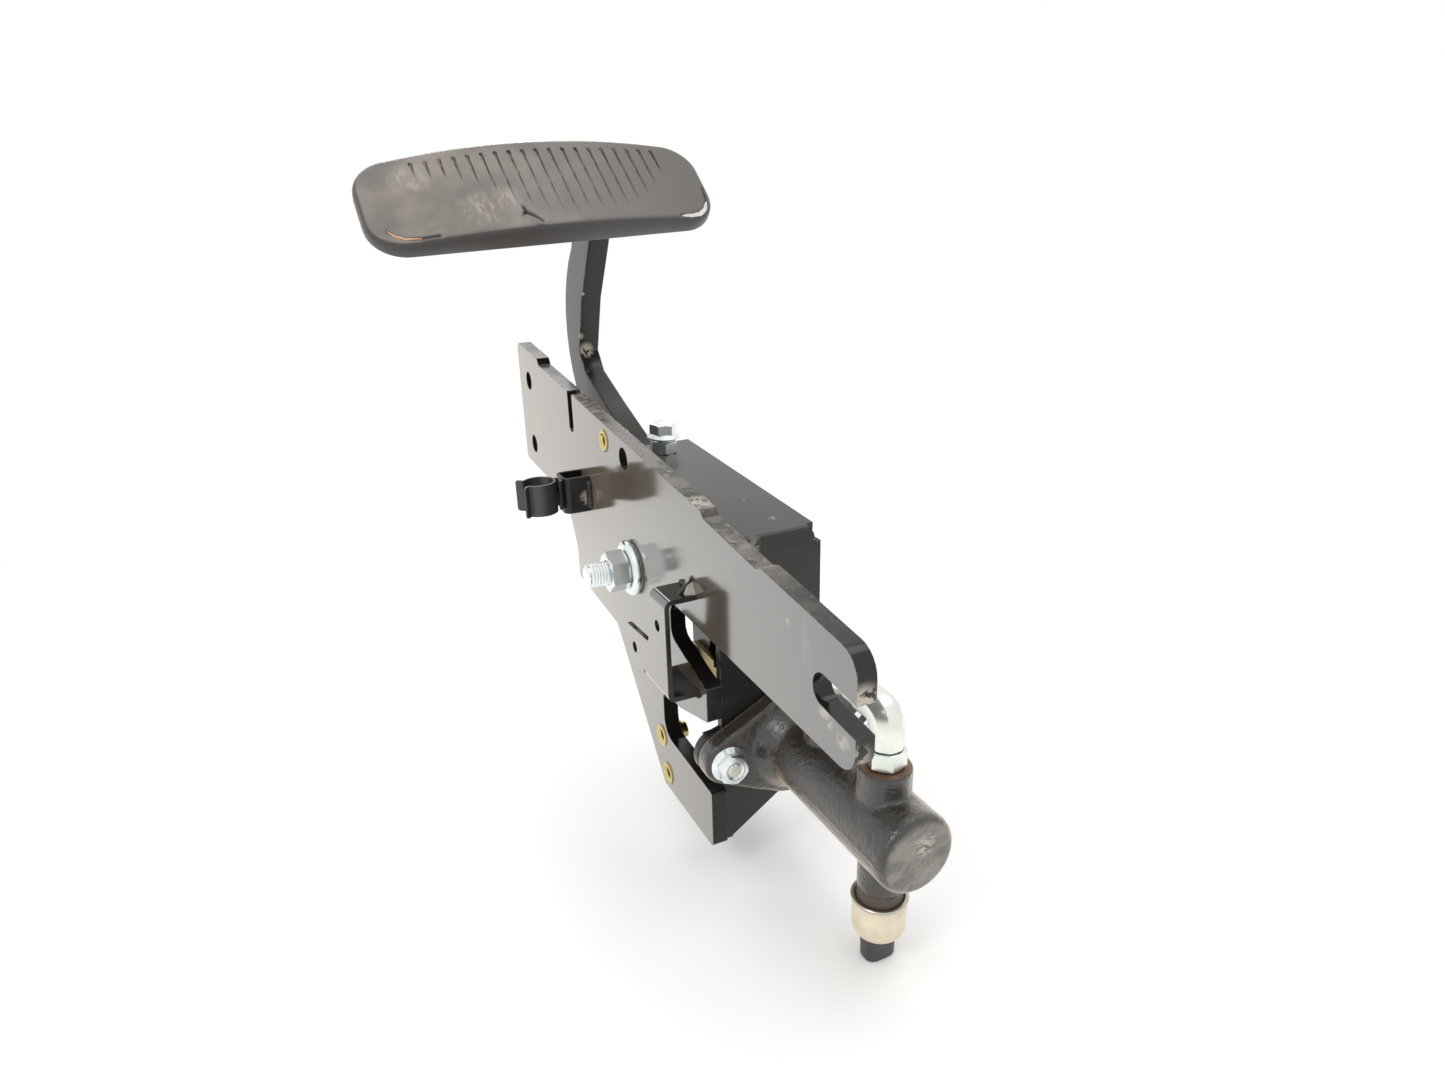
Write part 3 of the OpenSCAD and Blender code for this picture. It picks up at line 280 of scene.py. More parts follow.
def painted_casting(name, colours, grain_mm, end_x):
    # Iron cast in sand and brushed with black paint: the sand leaves a fine pitted grain under a glossy
    # film that pools in the hollows and glints on the grain, brown where it is thin, and scuffed grey on
    # the blind end.
    material, node, place = new_finish(name, IOR=1.45, Coat_Weight=1.0, Coat_IOR=1.55, Coat_Roughness=0.09,
                                       Sheen_Weight=0.6, Sheen_Roughness=0.36, Sheen_Tint=tone(colours.dust))
    colour = node("Mix", {0: patches(node, place, 16, 0.35, 0.75), 6: tone(colours.casting),
                          7: tone("#2A231C")}, **RGBA)
    face = PIVOT.x + end_x * MM
    on_end = node("MapRange", (node("SeparateXYZ", (place,)), face - 0.004, face - 0.0005), **SMOOTH)
    on_end = node("Math", (on_end, turned_to(node, X, 0.8, 0.97)), **TIMES)
    scrape = patches(node, place, 11, 0.4, 0.62, 0.15, 0.75, 6, 0.65, (1.0, 0.5, 1.2))
    specks = patches(node, place, 1.8, 0.72, 0.77, 0.0, 0.5)
    worn = node("Math", (node("Math", (on_end, scrape), **TIMES), specks), **MOST)
    nick = around(node, place, spot(end_x, 57.6, -75.3), 9)
    for share in (patches(node, place, 5, 0.5, 0.54, 0.0, 0.7, 5, 0.7, (1.0, 0.5, 1.6)), on_end):
        nick = node("Math", (nick, share), **TIMES)
    for share, bare in ((worn, "#827C73"), (nick, "#B5AA96")):
        colour = node("Mix", {0: share, 6: colour, 7: tone(bare)}, **RGBA)
    grain = patches(node, place, grain_mm, 0.2, 0.8, ragged=0.6)
    lumps = patches(node, place, 9, 0.2, 0.8, detail=2)
    return coat_with(material, [(grain, 0.8, 0.35), (lumps, 0.5, 0.8)], True, Base_Color=colour,
                     Roughness=node("MapRange", (worn, 0.0, 1.0, 0.34, 0.7)))


def machined_iron(name):
    # A turned iron face left bare: a thin film of rust over fine tool rings, dull orange-brown.
    material, node, place = new_finish(name, IOR=1.5)
    film = patches(node, place, 4, 0.35, 0.65, detail=5)
    colour = node("Mix", {0: film, 6: tone("#5C4332"), 7: tone("#83644B")}, **RGBA)
    return coat_with(material, [(patches(node, place, 0.8, 0.3, 0.7), 0.6, 0.05)], Base_Color=colour,
                     Roughness=node("MapRange", (film, 0.0, 1.0, 0.4, 0.6)))


def plated_steel(name, colour, rough=0.16, patch_mm=12, edge_darkening_share=0.25):
    # Steel with an electroplated zinc film: bright metal clouded in soft patches, darker along its edges and in
    # its corners.
    material, node, place = new_finish(name, Metallic=1.0)
    cloud = patches(node, place, patch_mm, 0.32, 0.7)
    cool = [part * share for part, share in zip(tone(colour), (0.86, 0.90, 0.93))]
    tint = node("Mix", {0: cloud, 6: tone(colour), 7: tone(cool)}, **RGBA)
    edge_darkening = node("Math", (rubbed_edges(node, 0.7, 0.02, 0.2), edge_darkening_share), **TIMES)
    tint = node("Mix", {0: edge_darkening, 6: tint, 7: tone(colour, 0.45)}, **RGBA)
    skin = patches(node, place, 2.2, 0.2, 0.8, detail=2)
    return coat_with(material, [(skin, 0.2, 0.02)], Base_Color=tint,
                     Roughness=node("MapRange", (cloud, 0.0, 1.0, rough, rough + 0.1)))


def worn_rubber(name, colours, face, wrinkles, tear):
    # Black rubber moulded in a polished tool and worn by boots: the face is rubbed to a satin grey brown,
    # wrinkled where the sole turns, and the sides and grooves keep the matt black of the mould. Part of the
    # face's lightness is painted light: the sides and groove walls are painted darker as shade, and the worn end
    # and the wrinkles carry a painted sheen.
    material, node, place = new_finish(name, IOR=1.52, Coat_Weight=0.35, Coat_IOR=1.5, Coat_Roughness=0.34,
                                       Sheen_Weight=0.15, Sheen_Roughness=0.4, Sheen_Tint=tone(colours.dust))
    cloud = patches(node, place, 34, 0.34, 0.66)
    rubbed = node("Mix", {0: cloud, 6: tone(colours.worn_rubber, 0.68), 7: tone(colours.worn_rubber, 1.2)},
                  **RGBA)
    # Darker towards the pad's +Y end. The worn near end is rubbed most, and its lighter tone is also a painted
    # sheen.
    trodden_and_sheen_fade = node("MapRange", (node("SeparateXYZ", (place,), out=1), -0.03, 0.11, 0.0, 0.85))
    rubbed = node("Mix", {0: trodden_and_sheen_fade, 6: rubbed, 7: tone(colours.rubber, 1.5)}, **RGBA)
    # Faces turned up take the rubbed colour and the rest take the dark one. This is wear, plus painted shade on
    # the sides and groove walls.
    colour = node("Mix", {0: turned_to(node, face, 0.72, 0.96), 6: tone(colours.rubber), 7: rubbed}, **RGBA)
    near, *others = [around(node, place, centre, reach) for centre, reach in wrinkles]
    for other in others:
        near = node("Math", (near, other), **MOST)
    crease = node("Math", (near, patches(node, place, 4.2, 0.42, 0.6, stretch=(0.7, 1.9, 0.7))), **TIMES)
    # The wrinkles turn lighter: the creases are whitened, and a soft painted highlight lies over the whole
    # wrinkled patch.
    whitened_and_highlit = node("Math", (crease, 0.34, node("Math", (near, 0.14), **TIMES)), operation="MULTIPLY_ADD")
    split = node("Math", (around(node, place, *tear), patches(node, place, 3, 0.56, 0.62, 0, 0.7)), **TIMES)
    for share, over in ((whitened_and_highlit, tone(colours.worn_rubber, 2.4)), (split, tone(colours.rubber))):
        colour = node("Mix", {0: share, 6: colour, 7: over}, **RGBA)
    skin = patches(node, place, 1.8, 0.3, 0.75, ragged=0.6)
    hide = patches(node, place, 6, 0.2, 0.8, detail=2)
    return coat_with(material, [(skin, 0.4, 0.06), (crease, 1.0, 0.5), (hide, 0.3, 0.25)], Base_Color=colour,
                     Roughness=node("MapRange", (cloud, 0.0, 1.0, 0.42, 0.56)))


def plain_surface(name, colour, rough, ior=1.5, metallic=0.0, grain_mm=2.0, depth_mm=0.03, wear=0.0):
    # A moulded, oiled or turned surface: one colour with a faint grain, uneven gloss and rubbed edges.
    material, node, place = new_finish(name, IOR=ior, Metallic=metallic)
    cloud = patches(node, place, 12, 0.3, 0.7)
    tint = node("Mix", {0: cloud, 6: tone(colour, 0.86), 7: tone(colour, 1.12)}, **RGBA)
    if wear:
        worn = node("Math", (rubbed_edges(node, 0.8), patches(node, place, 4, 0.45, 0.6, 0.0, wear)), **TIMES)
        tint = node("Mix", {0: worn, 6: tint, 7: tone("#7A756C")}, **RGBA)
    return coat_with(material, [(patches(node, place, grain_mm, 0.2, 0.8), 0.5, depth_mm)], Base_Color=tint,
                     Roughness=node("MapRange", (cloud, 0.0, 1.0, rough, rough + 0.12)))


def white_board(name, colour, centre):
    # Smooth board painted matt white. Far from the object it is seen, but does not light, as plain white.
    material, node, place = new_finish(name, Roughness=0.85, IOR=1.3)
    tint = node("Mix", {0: patches(node, place, 400, 0.3, 0.7), 6: tone(colour), 7: tone(colour, 0.985)},
                **RGBA)
    coat_with(material, Base_Color=tint)
    ray = node("LightPath", out=None).outputs
    seen = node("Math", (ray["Is Camera Ray"], ray["Is Glossy Ray"]), **MOST)
    seen = node("Math", (seen, ray["Is Transmission Ray"]), **MOST)
    away = node("VectorMath", (place, tuple(centre)), out="Value", operation="DISTANCE")
    share = node("Math", (seen, node("MapRange", (away, 0.25, 0.95), **SMOOTH)), **TIMES)
    white = node("Emission", {"Color": (1.0, 1.0, 1.0, 1.0), "Strength": 1.0})
    tree = material.node_tree
    mixed = node("MixShader", (share, tree.nodes["Principled BSDF"].outputs[0], white))
    tree.links.new(mixed, tree.nodes["Material Output"].inputs["Surface"])
    return material


# ---------------------------------------------------------------- meshes

def add_object(name, data):
    piece = bpy.data.objects.new(name, data)
    bpy.context.scene.collection.objects.link(piece)
    return piece


def shade(mesh, angle=32.0):
    mesh.polygons.foreach_set("use_smooth", [True] * len(mesh.polygons))
    mesh.set_sharp_from_angle(angle=math.radians(angle))
    mesh.update()


@contextmanager
def joined(mesh, reach):
    """The mesh open for editing, with points nearer than reach made one."""
    work = bmesh.new()
    work.from_mesh(mesh)
    bmesh.ops.remove_doubles(work, verts=work.verts, dist=reach)
    yield work
    work.to_mesh(mesh)
    work.free()


def make_piece(name, shape, material, angle=32.0):
    """An object from points in metres and faces, which are turned outwards."""
    mesh = bpy.data.meshes.new(name)
    mesh.from_pydata([tuple(v) for v in shape[0]], [], [tuple(f) for f in shape[1]])
    with joined(mesh, 1e-7) as work:
        bmesh.ops.recalc_face_normals(work, faces=work.faces)
    mesh.materials.append(material)
    shade(mesh, angle)
    return add_object(name, mesh)


def join_shapes(*shapes):
    """Joins (points, faces) pairs into one pair."""
    points, faces = [], []
    for more, sides in shapes:
        start = len(points)
        points.extend(more)
        faces.extend([tuple(i + start for i in f) for f in sides])
    return points, faces


def moved(shape, matrix):
    return [matrix @ Vector(p) for p in shape[0]], shape[1]


def set_at(origin, z_axis=Z, x_hint=Z):
    """Puts a shape made along Z, in millimetres, at a point in metres along z_axis."""
    z = Vector(z_axis).normalized()
    x = Vector(x_hint) - z * Vector(x_hint).dot(z)
    if x.length < 1e-4:
        x = Vector(X) - z * z.x
    x.normalize()
    turn = Matrix((x, z.cross(x), z)).transposed().to_4x4()
    return Matrix.Translation(origin) @ turn @ Matrix.Scale(MM, 4)


def turns(steps):
    return [2 * math.pi * i / steps for i in range(steps)]


def skin(count, steps, closed=False):
    """Faces between rings of equally many points; a closed skin also joins the last ring to the first."""
    return [(k * steps + i, k * steps + (i + 1) % steps, (k + 1) % count * steps + (i + 1) % steps,
             (k + 1) % count * steps + i) for k in range(count if closed else count - 1)
            for i in range(steps)]


def lofted(loops):
    """Skins loops of points and caps both ends."""
    steps, last = len(loops[0]), (len(loops) - 1) * len(loops[0])
    caps = [tuple(range(steps))[::-1], tuple(range(last, last + steps))]
    return [p for loop in loops for p in loop], skin(len(loops), steps) + caps


def rings(levels, steps=96, closed=False):
    """Skins rings of (height, radius); a radius may be a function of the angle. Ends meet or are capped."""
    points = []
    for height, radius in levels:
        for a in turns(steps):
            r = radius(a) if callable(radius) else radius
            points.append((r * math.cos(a), r * math.sin(a), height))
    faces = skin(len(levels), steps, closed)
    if not closed:
        for base, height in ((0, levels[0][0]), ((len(levels) - 1) * steps, levels[-1][0])):
            points.append((0.0, 0.0, height))
            hub = len(points) - 1
            for i in range(steps):
                pair = (base + i, base + (i + 1) % steps)
                faces.append((*pair, hub) if base else (*pair[::-1], hub))
    return points, faces


def hexagon_radius(af, cone=None):
    def radius(a):
        r = af / 2 / math.cos((a + math.pi / 6) % (math.pi / 3) - math.pi / 6)
        return min(r, cone) if cone else r
    return radius


def hex_sides(af, height, rim_r=0.0):
    """Rings up a hexagon whose corners are turned away to a cone at its ends. With a rim it starts as a
    rolled washer face."""
    corner, cone = af / 2 / math.cos(math.pi / 6), af * 0.487
    drop = (corner - af / 2) * 0.62
    ramp = [(drop * t, hexagon_radius(af, cone + (corner - cone) * t))
            for t in (0.0, 0.2, 0.4, 0.6, 0.8, 1.0)]
    start = ramp
    if rim_r:
        start = [(0.0, rim_r - 0.5), (0.25, rim_r - 0.1), (0.7, rim_r), (1.2, rim_r - 0.12),
                 (1.7, rim_r - 0.7), (3.4, af / 2 * 1.03), (3.4, hexagon_radius(af))]
    return start + [(height - down, r) for down, r in reversed(ramp)]


def nut_shape(af, height, bore_r, rim_r=0.0, sink=0.9):
    return rings([(0.5, bore_r), (0.0, bore_r + 0.5), *hex_sides(af, height, rim_r), (height, bore_r + sink),
                  (height - sink, bore_r)], closed=True)


def bolt_head_shape(af, height, rim_r=0.0, dish=0.6):
    return rings([(0.0, 0.5), *hex_sides(af, height, rim_r), (height, af * 0.40), (height - dish, af * 0.34),
                  (height - dish, 0.5)])


def own_copy(node, name, material):
    """An object with its own copy of a CAD node's mesh."""
    mesh = frame["nodes"][node].data.copy()
    mesh.materials.clear()
    mesh.materials.append(material)
    return add_object(name, mesh)


def flatten(piece):
    """Applies the piece's modifiers to its mesh."""
    result = bpy.data.meshes.new_from_object(piece.evaluated_get(bpy.context.evaluated_depsgraph_get()))
    piece.modifiers.clear()
    piece.data = result
    return piece


def modified(piece, *stack):
    """Runs modifiers on the piece, each a name, a type and its settings, and keeps the plain mesh."""
    for name, kind, settings in stack:
        modifier = piece.modifiers.new(name, kind)
        for key, value in settings.items():
            setattr(modifier, key, value)
    return flatten(piece)


FLAT_FACES = ("Flat faces", "WEIGHTED_NORMAL", {"keep_sharp": True})


def softened(node, name, width, material, body="frame", angle=30.0, bends=None, bend_width=None):
    """Stands a CAD node's shape with its edges rounded in its place; bends picks edges that take a wider
    round."""
    piece = own_copy(node, name, material)
    with joined(piece.data, 2e-6) as work:
        bmesh.ops.dissolve_limit(work, angle_limit=math.radians(0.6), verts=work.verts, edges=work.edges)
        rounds = [(lambda e: e.calc_face_angle(0.0) > math.radians(angle), width, 2)]
        if bends:
            rounds.insert(0, (bends, bend_width, 5))
        for wanted, offset, segments in rounds:
            picked = [e for e in work.edges if len(e.link_faces) == 2 and wanted(e)]
            bmesh.ops.bevel(work, geom=picked, offset=offset, offset_type="OFFSET", segments=segments,
                            profile=0.5, affect="EDGES", clamp_overlap=True)
        bmesh.ops.recalc_face_normals(work, faces=work.faces)
    shade(piece.data, 40.0)
    return belongs(modified(piece, FLAT_FACES), body, node)


def bevelled(piece, width, angle=40.0):
    edge = {"width": width, "segments": 2, "limit_method": "ANGLE", "angle_limit": math.radians(angle)}
    return modified(piece, ("Edge", "BEVEL", edge), FLAT_FACES)


def cut_edges(piece, paint, broad):
    """Gives the faces that aren't broad ones their own finish."""
    piece.data.materials.append(paint)
    for side in piece.data.polygons:
        side.material_index = 0 if broad(side.normal) else 1


def belongs(piece, body, *nodes, slot=None):
    """The piece rides on a body, and may stand for CAD nodes, which it hides. The slot is looked up but not given
    to the piece.
    """
    if nodes:
        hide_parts(*nodes)
        slot = slot or SLOTS[nodes[0]]
    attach(piece, body)
    return piece


def stand(name, shape, material, *nodes, angle=32.0, body="frame", slot=None):
    """Makes a piece and gives it its body, and hides the CAD nodes it stands for; the slot is not given to it."""
    return belongs(make_piece(name, shape, material, angle), body, *nodes, slot=slot)


def shortens(piece):
    """Gives the piece its own copy of its mesh."""
    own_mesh(piece)


def dress(material, *nodes):
    """Gives CAD nodes their finish."""
    for node in nodes:
        data = frame["nodes"][node].data
        data.materials.clear()
        data.materials.append(material)


# ---------------------------------------------------------------- repeating shapes

def start_tree(name, **inputs):
    """A geometry tree with named inputs; gives the tree, its inputs' identifiers and its input node."""
    tree = bpy.data.node_groups.new(name, "GeometryNodeTree")
    tree.is_modifier = True
    ids = {}
    for label, (kind, value) in {"Geometry": ("Geometry", None), **inputs,
                                 "Material": ("Material", None)}.items():
        socket = tree.interface.new_socket(label, in_out="INPUT", socket_type="NodeSocket" + kind)
        if value is not None:
            socket.default_value = value
        ids[label] = socket.identifier
    tree.interface.new_socket("Geometry", in_out="OUTPUT", socket_type="NodeSocketGeometry")
    return tree, ids, add(tree, "NodeGroupInput", out=None).outputs


def end_tree(tree, shape, material):
    """Ends a tree in real meshes with a material."""
    real = add(tree, "GeometryNodeRealizeInstances", {"Geometry": shape})
    painted = add(tree, "GeometryNodeSetMaterial", {"Geometry": real, "Material": material})
    add(tree, "NodeGroupOutput", {0: painted}, None)


def thread_tree():
    """A ridge wound along Z."""
    tree, ids, given = start_tree("Thread", Radius=("Float", 4.0), Pitch=("Float", 1.5),
                                  Length=("Float", 12.0), Ridge=("Float", 0.8))
    count = add(tree, "Math", (given["Length"], given["Pitch"]), operation="DIVIDE")
    coil = add(tree, "GeometryNodeCurveSpiral", {"Resolution": 40, "Rotations": count,
                                                 "Start Radius": given["Radius"],
                                                 "End Radius": given["Radius"], "Height": given["Length"]})
    upright = add(tree, "GeometryNodeSetCurveNormal", {"Curve": coil}, mode="Z_UP")
    ridge = add(tree, "GeometryNodeCurvePrimitiveCircle", {"Resolution": 4, "Radius": given["Ridge"]})
    sweep = add(tree, "GeometryNodeCurveToMesh", {"Curve": upright, "Profile Curve": ridge,
                                                  "Fill Caps": True})
    end_tree(tree, sweep, given["Material"])
    return tree, ids


def repeat_tree():
    """The template object stands once at each of the mesh's points."""
    tree, ids, given = start_tree("Repeat on points", Template=("Object", None), Size=("Float", 1.0))
    shape = add(tree, "GeometryNodeObjectInfo", {"Object": given["Template"]}, "Geometry")
    copies = add(tree, "GeometryNodeInstanceOnPoints", {"Points": given["Geometry"], "Instance": shape,
                                                        "Scale": given["Size"]})
    end_tree(tree, copies, given["Material"])
    return tree, ids


TREES = {}


def run_tree(piece, maker, angle=32.0, **values):
    """Runs a node tree on the piece with named inputs and keeps the plain mesh."""
    if maker not in TREES:
        TREES[maker] = maker()
    tree, ids = TREES[maker]
    modifier = piece.modifiers.new(tree.name, "NODES")
    modifier.node_group = tree
    for name, value in values.items():
        modifier[ids[name]] = value
    bpy.context.view_layer.update()
    flatten(piece)
    shade(piece.data, angle)
    return piece


def repeated(name, template, places, material, angle=32.0):
    """One piece made of copies of a template at each place. The template goes."""
    base = bpy.data.meshes.new(name)
    base.from_pydata([tuple(p) for p in places], [], [])
    piece = run_tree(add_object(name, base), repeat_tree, angle, Template=template, Size=1.0,
                     Material=material)
    bpy.data.objects.remove(template)
    return piece


def thread(name, origin, axis, radius, pitch, length, material, ridge):
    """A thread along axis, wound from origin; sizes in millimetres."""
    piece = run_tree(add_object(name, bpy.data.meshes.new(name)), thread_tree, 60.0, Radius=radius,
                     Pitch=pitch, Length=length, Ridge=ridge, Material=material)
    piece.data.transform(set_at(origin, axis))
    return piece


# ---------------------------------------------------------------- operators

class FOOTVALVE_OT_stage(bpy.types.Operator):
    """Camera, floor and soft light"""
    bl_idname = "foot_valve.stage"
    bl_label = "Stage"

    def execute(self, context):
        scene = context.scene
        camera = scene.camera = add_object("camera", bpy.data.cameras.new("camera"))
        right, up, back = (0.4455, 0.8950, -0.0220), (-0.3105, 0.1775, 0.9339), (0.8397, -0.4093, 0.3570)
        turn = Matrix((right, up, back)).transposed().to_4x4()
        camera.matrix_world = Matrix.Translation(spot(546.1, -200.0, 237.4)) @ turn
        # The focal length and the width of the view, in pixels.
        focal, width = 950.0, 1445.0
        camera.data.sensor_width = 36.0
        camera.data.lens = 36.0 * focal / width
        camera.data.clip_start = 0.01

        low, reach = CAD_BOUNDS[0][2] - 0.6 * MM, 14.0
        corners = [(-reach, -reach, low), (reach, -reach, low), (reach, reach, low), (-reach, reach, low)]
        board = white_board("white board", scene.valve_colours.floor, spot(0, 50, -150))
        make_piece("floor", (corners, [(0, 1, 2, 3)]), board)

        world = scene.world = bpy.data.worlds.new("soft room")
        world.use_nodes = True
        sky = world.node_tree.nodes["Background"].inputs
        sky["Color"].default_value, sky["Strength"].default_value = (1.0, 1.0, 1.0, 1.0), 1.0
        for name, place, size, watts in (("key", (-1.45, 0.3, 1.15), 0.7, 10.0),
                                         ("fill", (0.9, -1.6, 1.5), 0.7, 9.0),
                                         ("top", (0.3, 0.9, 2.1), 1.2, 5.0)):
            lamp = bpy.data.lights.new(name, "AREA")
            lamp.shape, lamp.size, lamp.energy = "DISK", size, watts
            aim = (Vector((0.2, 0.03, -0.05)) - Vector(place)).to_track_quat("-Z", "Y")
            add_object(name, lamp).matrix_world = Matrix.Translation(place) @ aim.to_matrix().to_4x4()
        scene.view_settings.view_transform = "Standard"
        return {"FINISHED"}


MIRRORING = {"ior": 1.87, "coat_ior": 1.85, "gloss": 0.11, "dust": 0.82, "wear": 0.0}


def front_bend(edge):
    """True on the long edges of the bend between the housing's top and its front."""
    start, end = (v.co for v in edge.verts)
    way = end - start
    return (way.length > 0.012 and abs(way.normalized().y) > 0.999 and start.x > PIVOT.x + 0.09
            and start.z > PIVOT.z + 0.03 and edge.calc_face_angle(0) > 0.3)


class FOOTVALVE_OT_plates(bpy.types.Operator):
    """Mounting plate, bent housing sheet and far wall"""
    bl_idname = "foot_valve.plates"
    bl_label = "Plates"

    def execute(self, context):
        colours, sizes = context.scene.valve_colours, context.scene.valve_sizes
        broad = black_enamel("black enamel on plate faces", colours, **MIRRORING,
                             scuffs=[((212, 0, 24), 44, 0.3)],
                             chips=[((236, 0, 13), 8, 0.5), ((250, 0, 8), 7, 0.4), ((266, 0, 44), 5, 0.6),
                                    ((202, 0, 46), 3, 0.3)])
        cut = black_enamel("black enamel on cut edges", colours, 1.45, 0.0, 0.11, 0.12, 0.7, 0.75,
                           chips=[((262, 3, 32), 11, 0.9), ((255, 2, 5), 10, 0.8), ((100, 4, 73), 12, 0.7)])
        sheet = black_enamel("black enamel on sheet", colours, 1.5, gloss=0.2, dust=0.25,
                             chips=[((41, 47, 50), 3, 0.5), ((84, 60, 50), 4, 0.5),
                                    ((50, 58, 50), 3, 0.4), ((108, 34, 46), 9, 0.3)])
        plate = softened("side_plate", "mounting_plate", 1.35 * sizes.edge_round, broad)
        cut_edges(plate, cut, lambda normal: abs(normal.y) > 0.97)
        softened("housing_sheet", "housing_cover", 0.45 * MM, sheet, bends=front_bend,
                 bend_width=sizes.bend_round)
        softened("far_wall", "housing_far_wall", sizes.edge_round, sheet)
        return {"FINISHED"}


def weld_bead(start, end, radius):
    """A closed bead of weld between points in millimetres from the pivot, rippled like stacked coins."""
    start, end = Vector(start), Vector(end)
    ahead, length = (end - start).normalized(), (end - start).length
    side = ahead.cross(Vector((0.31, 0.2, 0.93))).normalized()
    up = side.cross(ahead)
    step, ripple = 0.5, 1.7
    loops, count = [], max(8, int(length / step))
    for k in range(count + 1):
        run = length * k / count
        full = min(1.0, min(run, length - run) / radius)
        r = radius * (0.25 + 0.75 * math.sqrt(max(0.0, 1 - (1 - full) ** 2)))
        r *= 1 + 0.09 * math.sin(run * 2 * math.pi / ripple)
        centre = start.lerp(end, k / count)
        loops.append([spot(*(centre + side * (r * math.cos(a)) + up * (r * math.sin(a)))) for a in turns(14)])
    return lofted(loops)


class FOOTVALVE_OT_bracket(bpy.types.Operator):
    """Stand-off bracket, its gusset and weld beads"""
    bl_idname = "foot_valve.bracket"
    bl_label = "Accessory bracket"

    def execute(self, context):
        colours = context.scene.valve_colours
        paint = black_enamel("gloss black enamel on bracket edges", colours, gloss=0.1, wear=0.25)
        web = black_enamel("gloss black enamel on bracket web", colours, **MIRRORING)
        bracket = softened("accessory_bracket", "standoff_bracket", 0.35 * MM, web)
        cut_edges(bracket, paint, lambda normal: normal.y < -0.6)
        softened("bracket_gusset", "standoff_gusset", 0.3 * MM, paint)
        beads = join_shapes(*(weld_bead(*bead) for bead in (
            ((79.5, -0.4, 20.2), (88, -0.4, 20.2), 1.6), ((66, -0.4, -45.4), (101, -0.4, -45.4), 1.8),
            ((-76.0, -1.0, 19), (-76.0, -1.0, 40), 2.6), ((-98.9, -0.3, 18), (-98.9, -0.3, 41), 1.8))))
        stand("weld_beads", beads, paint, angle=50, slot="black_paint")
        tack = ((88, 0.3, 18.5), (101, 0.3, 18.5), (94, 0.3, 29.5), (90, -6.5, 18.5), (99, -6.5, 18.5),
                (93.5, -1.6, 28.6))
        sides = [(0, 1, 4, 3), (0, 3, 5, 2), (1, 2, 5, 4), (3, 4, 5), (0, 2, 1)]
        tack = make_piece("weld_tack", ([spot(*v) for v in tack], sides),
                          plain_surface("weld metal under thin enamel", "#A39D94", 0.25, wear=0.5), 20)
        belongs(bevelled(tack, 0.6 * MM, 20), "frame", slot="black_paint")
        return {"FINISHED"}


def strip(path, thickness, low, high, corner=0.0):
    """A bent strip: a path of (x, y) in millimetres, thickened evenly, from height low to high, with its
    ends' corners rounded."""
    path = [Vector((*p, 0)) for p in path]
    run = np.cumsum([0.0] + [(b - a).length for a, b in zip(path, path[1:])])
    left, right = [], []
    for i, p in enumerate(path):
        ahead = (path[min(i + 1, len(path) - 1)] - path[max(i - 1, 0)]).normalized()
        side = Vector((-ahead.y, ahead.x, 0)) * thickness / 2
        short = max(0.0, corner - min(run[i], run[-1] - run[i]))
        drop = corner - math.sqrt(corner ** 2 - short ** 2)
        left.append((*(p + side).xy, drop))
        right.append((*(p - side).xy, drop))
    loop = left + right[::-1]
    count = len(loop)
    points = [spot(x, y, level + way * drop) for way, level in ((1, low), (-1, high)) for x, y, drop in loop]
    faces = skin(2, count)
    for a in range(len(left) - 1):
        b, c, d = a + 1, count - 2 - a, count - 1 - a
        faces += [(a, d, c, b), (count + a, count + b, count + c, count + d)]
    return points, faces


def arc(cx, cy, r, start, end, steps):
    angles = [math.radians(start + (end - start) * i / steps) for i in range(steps + 1)]
    return [(cx + r * math.cos(a), cy + r * math.sin(a)) for a in angles]


